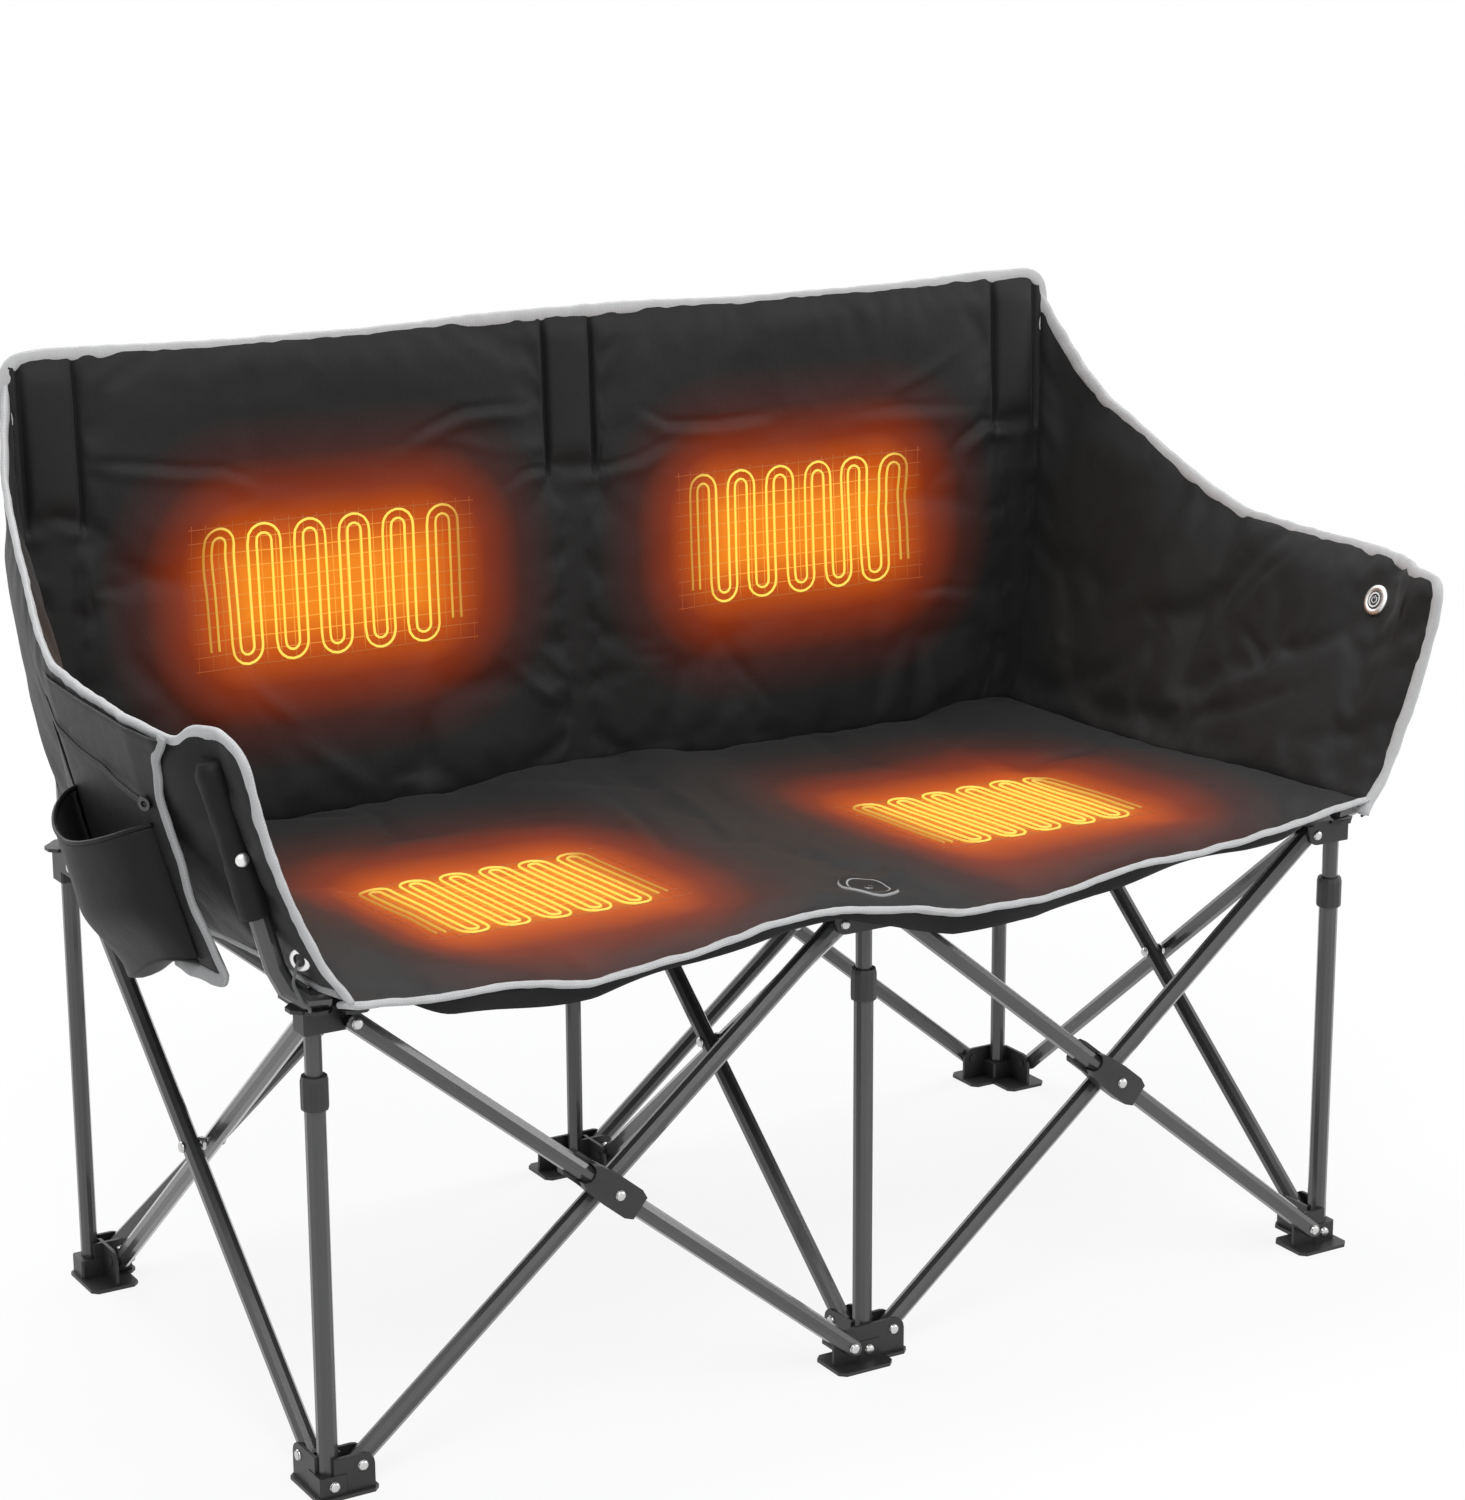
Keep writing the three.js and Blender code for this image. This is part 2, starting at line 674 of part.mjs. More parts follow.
// A round body along the post's line, with its two ends moved along that line.
function postSolid(sign, radius, sides, extra) {
  const start = postPoint(sign, [postInnerEnd - extra, 0]);
  const low = postPoint(sign, [postBendStart, 0]);
  const corner = postPoint(sign, [postBendCorner, 0]);
  const high = postPoint(sign, [postBendOut, postBendRise]);
  const end = postPoint(sign, [postTopOut, postTopRise]);
  const lift = end.clone().sub(high).setLength(extra);
  const path = new THREE.CurvePath();
  path.add(new THREE.LineCurve3(start, low));
  path.add(new THREE.QuadraticBezierCurve3(low, corner, high));
  path.add(new THREE.LineCurve3(high, end.add(lift)));
  return solidOf(new THREE.ExtrudeGeometry(circleShape(radius, sides), {
    steps: postSteps, extrudePath: path, bevelEnabled: false,
  }));
}

function circleShape(radius, sides) {
  const shape = new THREE.Shape();
  for (let i = 0; i < sides; i += 1) {
    const angle = (2 * Math.PI * i) / sides;
    const point = [radius * Math.cos(angle), radius * Math.sin(angle)];
    if (i === 0) shape.moveTo(...point);
    else shape.lineTo(...point);
  }
  shape.closePath();
  return shape;
}

for (const [side, sign] of [['left', -1], ['right', 1]]) {
  put(`arm_post_${side}`, geometryOf(postSolid(sign, postRadius, tubeSides, 0)), 'tube');
}

// Fabric

function limit(t) {
  return Math.min(1, Math.max(0, t));
}

function smooth(t) {
  const s = limit(t);
  return s * s * (3 - 2 * s);
}

function mix(a, b, t) {
  return a + (b - a) * t;
}

// A value from a table of [place, ...values] rows.
function fromTable(table, place, column) {
  const last = table.length - 1;
  let i = 0;
  while (i < last - 1 && table[i + 1][0] < place) i += 1;
  const t = (place - table[i][0]) / (table[i + 1][0] - table[i][0]);
  return mix(table[i][column], table[i + 1][column], t);
}

// A closed pad over a grid: place(u, v, face) gives the point on its face 1 or -1.
function padSolid(columnCount, rowCount, place) {
  const positions = [];
  const index = [];
  const row = columnCount + 1;
  const layer = row * (rowCount + 1);
  for (const face of [1, -1]) {
    for (let j = 0; j <= rowCount; j += 1) {
      for (let i = 0; i <= columnCount; i += 1) {
        positions.push(...place(i / columnCount, j / rowCount, face));
      }
    }
  }
  const quad = (a, b, c, d) => index.push(a, b, c, a, c, d);
  for (let j = 0; j < rowCount; j += 1) {
    for (let i = 0; i < columnCount; i += 1) {
      const a = j * row + i;
      quad(a, a + 1, a + row + 1, a + row);
      quad(layer + a, layer + a + row, layer + a + row + 1, layer + a + 1);
    }
  }
  for (let i = 0; i < columnCount; i += 1) {
    const last = rowCount * row + i;
    quad(i + 1, i, layer + i, layer + i + 1);
    quad(last, last + 1, layer + last + 1, layer + last);
  }
  for (let j = 0; j < rowCount; j += 1) {
    const a = j * row;
    const b = a + columnCount;
    quad(a, a + row, layer + a + row, layer + a);
    quad(b + row, b, layer + b, layer + b + row);
  }
  const geometry = new THREE.BufferGeometry();
  geometry.setAttribute('position', new THREE.Float32BufferAttribute(positions, 3));
  geometry.setIndex(index);
  const solid = solidOf(geometry);
  if (solid.volume() > 0) return solid;
  for (let i = 0; i < index.length; i += 3) [index[i], index[i + 1]] = [index[i + 1], index[i]];
  geometry.setIndex(index);
  return solidOf(geometry);
}

// Seat: flat over the hubs, hanging in a valley between them, with a hem that turns down along the front

const seatFrontY = frontY - seatOverhang;
const seatRearY = rearY - seatRearInset;
const seatHalfWidth = legSpacing - seatSideInset;
const seatBase = hubTop + gap + seatThickness;
const postLift = 2 * (postRadius + gap);
const lieAcross = hubPlateReach + seatLie;
const lieAlong = depthPivotOffset + hubLugRadius + seatLie;

// How far down a place across the seat lies: 0 over the hubs, 1 between them.
function valley(x) {
  const t = limit((Math.abs(x) - lieAcross) / (legSpacing - 2 * lieAcross));
  return smooth(t / seatRampShare) * smooth((1 - t) / seatRampShare);
}

function seatTop(x, y) {
  const across = limit(Math.abs(x) / seatHalfWidth);
  const depth = limit((y - seatFrontY) / (seatRearY - seatFrontY));
  const lift = mix(0, postLift, smooth(across)) * (1 - smooth(depth));
  const inner = limit((y - frontY - lieAlong) / (legDepth - 2 * lieAlong));
  const hollow = Math.sin(Math.PI * inner) ** 2;
  return seatBase + lift - valley(x) * (seatValley + seatBodySag * hollow) - seatLengthSag * hollow;
}

function seatPad(fromY, toY, rowCount, hem) {
  return padSolid(seatColumns, rowCount, (u, v, face) => {
    const x = mix(-seatHalfWidth, seatHalfWidth, u);
    const afterHem = mix(fromY + seatHemDepth, toY, (v * rowCount - 1) / (rowCount - 1));
    const y = hem > 0 && v > 0 ? afterHem : mix(fromY, toY, v);
    const top = seatTop(x, y);
    const drop = v === 0 ? hem : 0;
    return [x, y, face > 0 ? top - drop * seatHemTopShare : top - seatThickness - drop];
  });
}

// Heating pads: thin sheets that follow the face they lie on, each in a shallow hollow of its own.
function sheetOn(face, edges, grow, inner, outer) {
  const [a0, a1, b0, b1] = edges;
  return padSolid(padColumns, padRows, (u, v, side) => {
    const a = mix(a0 - grow, a1 + grow, u);
    const b = mix(b0 - grow, b1 + grow, v);
    return face(a, b, side > 0 ? outer : inner);
  });
}

const onSeat = (x, y, out) => [x, y, seatTop(x, y) + out];
const padMiddle = padMiddleShare * legSpacing;
const pads = [];
for (const [side, sign] of [['left', -1], ['right', 1]]) {
  const seatEdges = [
    sign * padMiddle - seatPadHalfWidth, sign * padMiddle + seatPadHalfWidth,
    frontY + seatPadFront, -seatPadRear,
  ];
  const backEdges = [
    sign * padMiddle - backPadHalfWidth, sign * padMiddle + backPadHalfWidth,
    hubTop + backPadBottom, hubTop + backPadTop,
  ];
  pads.push({ side, place: 'seat', face: onSeat, edges: seatEdges });
  pads.push({ side, place: 'back', face: onBack, edges: backEdges });
}

function padRooms(place) {
  const rooms = pads.filter((pad) => pad.place === place).map(({ face, edges }) => (
    sheetOn(face, edges, gap, -padSunk - gap, padProud + seatThickness)
  ));
  return join(rooms);
}

const seatFront = seatPad(seatFrontY, -gap / 2, seatFrontRows, seatHem).subtract(padRooms('seat'));
const seatRear = seatPad(gap / 2, seatRearY, seatRearRows, 0);
put('seat_front', geometryOf(seatFront), 'fabric');
put('seat_rear', geometryOf(seatRear), 'fabric');
for (const { side, place, face, edges } of pads) {
  const sheet = sheetOn(face, edges, 0, -padSunk, padProud);
  put(`heating_pad_${place}_${side}`, geometryOf(sheet), 'glow');
}

// Back: it stands on the seat's rear edge, leans in front of the uprights and hangs from three sleeves

function backMiddle(x, z) {
  const t = limit((z - hubTop) / backHeight);
  const puff = backPuff * valley(x) * Math.sin(Math.PI * t);
  return rearY - mix(backBottomInset, backTopInset, t) + puff;
}

function onBack(x, z, out) {
  return [x, backMiddle(x, z) - backThickness / 2 - out, z];
}

function backPanel() {
  const rows = backSideShares.length - 1;
  const panel = padSolid(backColumns, rows, (u, v, face) => {
    const [share, reachShare] = backSideShares[Math.round(v * rows)];
    const half = legSpacing + reachShare * backReach;
    const x = mix(-half, half, u);
    const bottom = seatTop(x, seatRearY) - seatThickness / 2;
    const top = hubTop + backHeight - backDip * valley(x);
    const z = mix(bottom, top, share);
    return [x, backMiddle(x, z) - face * backThickness / 2, z];
  });
  const sleeves = columns.map(({ x }) => {
    const outline = cutRectangle(
      x - sleeveHalfWidth, x + sleeveHalfWidth, rearY - sleeveHalfDepth, rearY + sleeveHalfDepth, sleeveCut,
    );
    return plate('xy', outline, sleeveTop - sleeveLength, sleeveTop);
  });
  const boreRadius = uprightRadius + slideGap;
  const bores = columns.map(({ x }) => rod('z', boreRadius, 0, uprightTop + gap, tubeSides, [x, rearY, 0]));
  return join([panel, ...sleeves])
    .subtract(join(bores))
    .subtract(seatRear.translate([0, 0, gap]))
    .subtract(padRooms('back'));
}

put('back_panel', geometryOf(backPanel()), 'fabric');

// Arms: each rises from the seat's side to its top edge, and its front end wraps the post in a sleeve

function armBottom(y) {
  return seatTop(seatHalfWidth, y) - armSeatLap;
}

function armEdge(y) {
  const share = (y - frontY) / legDepth;
  return {
    x: legSpacing + armReach * fromTable(armTopShares, share, 1),
    z: hubTop + armRise * fromTable(armTopShares, share, 2),
  };
}

// The middle of the arm's thickness at a place along its length and a share of its height.
function armMiddle(y, v) {
  const edge = armEdge(y);
  const along = limit((y - frontReach) / legDepth);
  const foldShare = Math.sin(armFoldCount * Math.PI * along) * Math.sin(Math.PI * v);
  const bottomX = seatHalfWidth + gap + armThickness / 2;
  const x = mix(bottomX, edge.x, v) + armBulge * Math.sin(Math.PI * v) + armFold * foldShare;
  return { x, z: mix(armBottom(y), edge.z, v) };
}

function armRearY(v) {
  let y = rearY;
  for (let step = 0; step < settleSteps; step += 1) {
    y = onBack(legSpacing, mix(armBottom(y), armEdge(y).z, v), armRearGap)[1];
  }
  return y;
}

function armSolid(sign) {
  const panel = padSolid(armColumns, armRows, (u, v, face) => {
    const y = mix(frontReach, armRearY(v), u);
    const middle = armMiddle(y, v);
    const half = (armThickness / 2) * mix(armEdgeShare, 1, Math.sqrt(Math.sin(Math.PI * limit(v))));
    const shift = v === 0 ? armThickness / 2 : half;
    return [sign * (middle.x + face * shift), y, middle.z];
  });
  const sleeveLine = new THREE.LineCurve3(
    postPoint(sign, alongPost(postSleeveStart)), postPoint(sign, alongPost(postSleeveEnd)),
  );
  const sleeve = solidOf(new THREE.ExtrudeGeometry(circleShape(postSleeveRadius, tubeSides), {
    steps: 1, extrudePath: sleeveLine, bevelEnabled: false,
  }));
  return panel.add(sleeve).subtract(postSolid(sign, postRadius + slideGap, tubeSides, overrun));
}

// A place on the post's straight part, at a height above its base.
function alongPost(rise) {
  const t = (rise - postBendRise) / (postTopRise - postBendRise);
  return [mix(postBendOut, postTopOut, t), rise];
}

// Power button: a housing through the right arm and a button that slides in it, square to the inner face

const buttonY = frontY + buttonSetback;
const buttonZ = hubTop + buttonRise;
const buttonShare = (buttonZ - armBottom(buttonY)) / (armEdge(buttonY).z - armBottom(buttonY));
const above = armMiddle(buttonY, buttonShare + buttonStepShare);
const below = armMiddle(buttonY, buttonShare - buttonStepShare);
const buttonTilt = Math.atan2(above.z - below.z, above.x - below.x);
const buttonMiddle = armMiddle(buttonY, buttonShare);
const buttonNormal = [-Math.sin(buttonTilt), 0, Math.cos(buttonTilt)];
const faceShift = armThickness / 2 + gap;
const housingDepth = buttonDepth + buttonTravel + buttonStop;
const buttonPlace = [
  buttonMiddle.x + faceShift * buttonNormal[0], buttonY, buttonMiddle.z + faceShift * buttonNormal[2],
];

// A body about Z, turned so that Z points out of the arm's inner face and moved to the button's place.
function atButton(geometry) {
  return geometry.clone().rotateY(-buttonTilt).translate(...buttonPlace);
}

const housing = ring([
  [buttonRadius + slideGap, -housingDepth],
  [housingRadius, -housingDepth],
  [housingRadius, 0],
  [housingFlangeRadius, 0],
  [housingFlangeRadius, housingFlange / 2],
  [housingFlangeRadius - housingFlange / 2, housingFlange],
  [buttonRadius + slideGap, housingFlange],
], buttonSides);
const buttonBody = new THREE.LatheGeometry([
  [0, -buttonDepth],
  [buttonRadius, -buttonDepth],
  [buttonRadius, buttonProud - buttonGroove],
  [buttonRadius - buttonGroove, buttonProud],
  [buttonRadius - buttonRimWidth, buttonProud],
  [buttonRadius - buttonRimWidth, buttonProud - buttonGroove],
  [buttonIconRadius, buttonProud - buttonGroove],
  [buttonIconRadius - buttonGroove, buttonProud],
  [0, buttonProud],
].map(([radius, height]) => new THREE.Vector2(radius, height)), buttonSides).rotateX(Math.PI / 2);
const housingRoom = new THREE.CylinderGeometry(
  housingRadius + gap, housingRadius + gap, 2 * (housingDepth + armThickness), buttonSides,
).rotateX(Math.PI / 2);
const flangeRoom = new THREE.CylinderGeometry(
  housingFlangeRadius + gap, housingFlangeRadius + gap, armThickness, buttonSides,
).rotateX(Math.PI / 2).translate(0, 0, armThickness / 2 - gap);

const armRight = armSolid(1)
  .subtract(solidOf(atButton(housingRoom)))
  .subtract(solidOf(atButton(flangeRoom)));
const armLeft = armSolid(-1);
put('arm_left', geometryOf(armLeft), 'fabric');
put('arm_right', geometryOf(armRight), 'fabric');
put('button_housing', geometryOf(solidOf(atButton(housing))), 'moulding');
put('power_button', geometryOf(solidOf(atButton(buttonBody))), 'steel');

// Organizer: a sheet that hangs from the left arm's top edge, with an open pocket for a cup on its outside

function pouchX(y, z) {
  const top = hubTop + pouchTopShare * armRise;
  const v = (top - armBottom(y)) / (armEdge(y).z - armBottom(y));
  const arm = armMiddle(y, v).x + armThickness / 2;
  return -(arm + slideGap + pouchSheet / 2 - pouchLeanShare * (top - z));
}

function pocketSolid(grow) {
  return padSolid(pocketColumns, pocketRows, (u, v, face) => {
    const y = frontY + mix(pocketFront - grow, pocketRear + grow, u);
    const z = hubTop + mix(pocketBottom - grow, grow < 0 ? pocketTop + overrun : pocketTop, v);
    const round = (1 - Math.abs(2 * u - 1) ** 4) ** 0.5;
    const flare = mix(pocketFlareShare, 1, smooth(2 * v));
    const out = pouchSheet / 2 + (pocketBulge + grow) * round * flare;
    return [face > 0 ? pouchX(y, z) - out : pouchX(y, z) - (grow < 0 ? pouchSheet / 2 : 0), y, z];
  });
}

function organizer() {
  const sheet = padSolid(pouchColumns, pouchRows, (u, v, face) => {
    const y = frontY + mix(pouchFront, pouchRear, u);
    const z = hubTop + mix(pouchBottom, pouchTopShare * armRise, v);
    return [pouchX(y, z) - face * pouchSheet / 2, y, z];
  });
  return sheet
    .add(pocketSolid(0))
    .subtract(pocketSolid(-pouchSheet))
    .subtract(armLeft.translate([-slideGap, 0, 0]))
    .subtract(armLeft);
}

put('organizer_left', geometryOf(organizer()), 'fabric');

export default model;
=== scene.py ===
import json
import math

import bmesh
import bpy
import numpy as np
from mathutils import Matrix, Vector, noise
from mathutils.bvhtree import BVHTree

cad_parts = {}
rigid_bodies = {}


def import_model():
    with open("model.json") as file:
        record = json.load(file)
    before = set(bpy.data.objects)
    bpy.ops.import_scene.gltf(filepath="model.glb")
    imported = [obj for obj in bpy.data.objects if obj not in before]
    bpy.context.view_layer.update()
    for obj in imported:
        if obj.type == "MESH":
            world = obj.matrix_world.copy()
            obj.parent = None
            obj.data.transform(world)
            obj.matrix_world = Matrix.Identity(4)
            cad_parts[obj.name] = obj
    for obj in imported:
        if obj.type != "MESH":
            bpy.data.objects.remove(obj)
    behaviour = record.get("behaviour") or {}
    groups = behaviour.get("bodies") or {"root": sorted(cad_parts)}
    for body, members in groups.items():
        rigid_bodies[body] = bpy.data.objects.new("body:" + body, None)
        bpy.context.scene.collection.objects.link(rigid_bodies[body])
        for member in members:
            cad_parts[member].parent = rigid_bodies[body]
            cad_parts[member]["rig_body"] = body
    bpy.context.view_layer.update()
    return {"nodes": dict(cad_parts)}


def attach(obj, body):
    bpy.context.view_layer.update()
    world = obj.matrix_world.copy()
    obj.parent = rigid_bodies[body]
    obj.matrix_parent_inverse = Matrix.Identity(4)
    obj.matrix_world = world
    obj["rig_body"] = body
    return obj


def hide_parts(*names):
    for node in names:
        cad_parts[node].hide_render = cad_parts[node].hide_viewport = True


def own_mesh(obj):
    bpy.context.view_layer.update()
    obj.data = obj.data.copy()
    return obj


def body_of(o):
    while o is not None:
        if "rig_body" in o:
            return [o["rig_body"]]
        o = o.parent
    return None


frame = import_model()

NODES = frame["nodes"]
MM = 0.001
SHIFT = np.array([0.0, 13.0, 0.0])

# Main sizes of the frame, in millimetres, with the legs' rows at -285 and 285
LEG_X = 556.0
FRONT_Y, REAR_Y, LEG_DEPTH = -285.0, 285.0, 570.0
FOOT_Z, HUB_Z, HUB_TOP = 26.0, 439.0, 452.3
PIVOT = 28.0
DEPTH_PIVOT = 35.0
BAR_PLANE = 22.0
SEAT_HALF, SEAT_FRONT, SEAT_REAR = 548, -341, 268
ARM_FRONT = -345
PLATE_REACH, PLATE_FROM = 46, 226
PATCH_Y = -292
BUTTON_Y, BUTTON_Z = -235, 651.6
CLOTH_FRAMES = 14


# Camera, at the photograph's place

CAM_AT = Vector((-1.7309, -2.9325, 1.43106))
CAM_YAW, CAM_PITCH, CAM_ROLL = 0.53881, 0.25692, -0.00458
ahead = Vector((math.sin(CAM_YAW) * math.cos(CAM_PITCH), math.cos(CAM_YAW) * math.cos(CAM_PITCH), -math.sin(CAM_PITCH)))
level = Vector((math.cos(CAM_YAW), -math.sin(CAM_YAW), 0.0))
upward = level.cross(ahead)
right = math.cos(CAM_ROLL) * level + math.sin(CAM_ROLL) * upward
raised = -math.sin(CAM_ROLL) * level + math.cos(CAM_ROLL) * upward
PHOTO_WIDTH, PHOTO_HEIGHT, LENS, SENSOR = 1465, 1500, 86.4, 36.0


# Small helpers

def limit(t):
    return min(1.0, max(0.0, t))


def smooth(t):
    s = limit(t)
    return s * s * (3 - 2 * s)


def mix(a, b, t):
    return a + (b - a) * t


def table(rows, place, column=1):
    xs = [r[0] for r in rows]
    ys = [r[column] for r in rows]
    return float(np.interp(place, xs, ys))


def metres(points):
    return (np.asarray(points, float) + SHIFT) * MM


def unit(v):
    v = np.asarray(v, float)
    n = np.linalg.norm(v, axis=-1, keepdims=True)
    return v / np.maximum(n, 1e-9)


def wobble(x, y, z, scale, seed=0.0):
    """Smooth noise from -1 to 1."""
    return noise.noise(Vector((x / scale + seed, y / scale - 2 * seed, z / scale + 0.5 * seed)))


def node_body(name):
    return body_of(NODES[name])[0]


def placed(name, data):
    """A new object in the scene."""
    obj = bpy.data.objects.new(name, data)
    bpy.context.scene.collection.objects.link(obj)
    return obj


def new_object(name, points, faces, smooth_shade=True, uvs=None):
    """A mesh object from points in millimetres; uvs gives one pair for each corner of each face."""
    mesh = bpy.data.meshes.new(name)
    mesh.from_pydata([tuple(p) for p in metres(points)], [], faces)
    if uvs is not None:
        layer = mesh.uv_layers.new(name="UVMap")
        layer.data.foreach_set("uv", np.asarray(uvs, np.float32).ravel())
    bm = bmesh.new()
    bm.from_mesh(mesh)
    bmesh.ops.recalc_face_normals(bm, faces=bm.faces)
    bm.to_mesh(mesh)
    bm.free()
    mesh.polygons.foreach_set("use_smooth", [smooth_shade] * len(mesh.polygons))
    return placed(name, mesh)


def vertex_rows(obj, field="co"):
    """A field of a mesh's vertices, one row of three for each."""
    values = np.empty(len(obj.data.vertices) * 3, np.float32)
    obj.data.vertices.foreach_get(field, values)
    return values.reshape(-1, 3)


def in_millimetres(obj):
    return vertex_rows(obj) / MM - SHIFT


def store(obj, name, values):
    """Keeps one number for each vertex under a name, for the materials."""
    obj.data.attributes.new(name, "FLOAT", "POINT").data.foreach_set("value", values.astype(np.float32))


def shade_smooth(obj):
    obj.data.polygons.foreach_set("use_smooth", [True] * len(obj.data.polygons))


def tree_of(obj):
    return BVHTree.FromPolygons([v.co.copy() for v in obj.data.vertices],
                                [tuple(p.vertices) for p in obj.data.polygons])


def bake(obj):
    """Applies all modifiers of an object to its mesh."""
    bpy.context.view_layer.update()
    dg = bpy.context.evaluated_depsgraph_get()
    mesh = bpy.data.meshes.new_from_object(obj.evaluated_get(dg))
    obj.modifiers.clear()
    obj.data = mesh


def thicken(obj, thickness):
    """Gives a sheet its thickness, half on each side."""
    solid = obj.modifiers.new("Solid", "SOLIDIFY")
    solid.thickness, solid.offset = thickness, 0.0
    bake(obj)


def paint(obj, material):
    obj.data.materials.clear()
    obj.data.materials.append(material)


# Materials

class Nodes:
    """Short calls for the node tree of a material or the world."""

    def __init__(self, name, world=False):
        self.material = (bpy.data.worlds if world else bpy.data.materials).new(name)
        self.material.use_nodes = True
        self.tree = self.material.node_tree
        self.tree.nodes.clear()
        self.out = self.tree.nodes.new("ShaderNodeOutputWorld" if world else "ShaderNodeOutputMaterial")

    def add(self, kind, inputs=None, **settings):
        n = self.tree.nodes.new(kind)
        for k, v in settings.items():
            setattr(n, k, v)
        for k, v in (inputs or {}).items():
            self.feed(n.inputs[k], v)
        return n

    def feed(self, socket, value):
        if isinstance(value, bpy.types.NodeSocket):
            self.tree.links.new(value, socket)
        else:
            socket.default_value = value

    def math(self, op, a, b=0.0, clamp=False):
        n = self.add("ShaderNodeMath", operation=op, use_clamp=clamp)
        self.feed(n.inputs[0], a)
        self.feed(n.inputs[1], b)
        return n.outputs[0]

    def weigh(self, *parts, plus=None):
        """The sum of values times their weights."""
        for value, weight in parts:
            part = self.math("MULTIPLY", value, weight)
            plus = part if plus is None else self.math("ADD", part, plus)
        return plus

    def place(self):
        return self.add("ShaderNodeTexCoord").outputs["Object"]

    def stored(self, name):
        return self.add("ShaderNodeAttribute", attribute_name=name).outputs["Fac"]

    def blend(self, t, a, b):
        n = self.add("ShaderNodeMix", data_type="RGBA")
        self.feed(n.inputs[0], t)
        self.feed(n.inputs[6], a)
        self.feed(n.inputs[7], b)
        return n.outputs[2]

    def noise(self, vector, scale, detail=3.0, rough=0.5):
        n = self.add("ShaderNodeTexNoise", {"Vector": vector, "Scale": scale, "Detail": detail, "Roughness": rough})
        return n.outputs[0]

    def ramp(self, value, stops):
        n = self.add("ShaderNodeValToRGB", {"Fac": value})
        ramp = n.color_ramp
        while len(ramp.elements) < len(stops):
            ramp.elements.new(0.5)
        for e, (place, colour) in zip(ramp.elements, stops):
            e.position = place
            e.color = (*colour, 1.0)
        return n.outputs[0]

    def waves(self, vector, direction, period, distortion=0.0):
        scale = 2 * math.pi / 20 / period
        n = self.add("ShaderNodeTexWave", {"Vector": vector, "Scale": scale, "Distortion": distortion},
                     wave_type="BANDS", bands_direction=direction, wave_profile="SIN")
        return n.outputs[1]

    def bump(self, height, strength, distance, normal=None):
        n = self.add("ShaderNodeBump", {"Height": height, "Strength": strength, "Distance": distance})
        if normal is not None:
            self.feed(n.inputs["Normal"], normal)
        return n.outputs[0]

    def finish(self, **sockets):
        shader = self.add("ShaderNodeBsdfPrincipled")
        for k, v in sockets.items():
            self.feed(shader.inputs[k.replace("_", " ")], v)
        self.tree.links.new(shader.outputs[0], self.out.inputs[0])
        return self.material


def grey(v, warm=0.0):
    return (v * (1 + warm), v, v * (1 - warm), 1.0)


def cloth_material(name, dark, light, glow_paint=False, weave=0.0011, sheen=0.25):
    """Woven polyester: a fine two-way weave, soft mottling, faint crush marks, and a painted glow where the wires lie.
    """
    n = Nodes(name)
    uv = n.add("ShaderNodeUVMap", uv_map="UVMap").outputs[0]
    place = n.place()
    warp = n.waves(uv, "X", weave)
    weft = n.waves(uv, "Y", weave)
    checks = n.math("MAXIMUM", warp, weft)
    mottle = n.noise(place, 9.0, 4.0, 0.55)
    crush = n.noise(place, 46.0, 5.0, 0.62)
    tone = n.weigh((n.weigh((mottle, 0.62), (crush, 0.38)), 0.8), (checks, 0.2))
    colour = n.blend(tone, grey(dark), grey(light))
    # Painted shade in the grooves of the sleeves' seams: the colour darkens where the seam mark is stored
    colour = n.blend(n.math("MULTIPLY", n.stored("seam"), 0.8), colour, grey(dark * 0.2))
    rough = n.weigh((crush, 0.16), plus=0.46)
    fine = n.bump(checks, 0.28, 0.00035)
    normal = n.bump(crush, 0.34, 0.0018, fine)
    sockets = {
        "Base_Color": colour, "Roughness": rough, "Normal": normal, "Sheen_Weight": sheen,
        "Sheen_Roughness": 0.42, "Specular_IOR_Level": 0.18,
    }
    if glow_paint:
        # Painted glow where the wires lie: the cloth's colour goes near-black there, and orange light is painted on by
        # emission
        level = n.stored("painted_glow")
        share = n.math("MULTIPLY", level, 1.6, clamp=True)
        sockets["Base_Color"] = n.blend(share, colour, (0.004, 0.0008, 0.0002, 1.0))
        uneven = n.weigh((mottle, 0.12), plus=0.94)
        glow = n.ramp(n.math("MULTIPLY", level, uneven), [
            (0.0, (0, 0, 0)), (0.2, (0.038, 0.0036, 0.0002)), (0.45, (0.21, 0.021, 0.0004)),
            (0.72, (0.58, 0.086, 0.001)), (1.0, (0.9, 0.24, 0.005)),
        ])
        sockets["Emission_Color"] = glow
        sockets["Emission_Strength"] = 1.0
    return n.finish(**sockets)


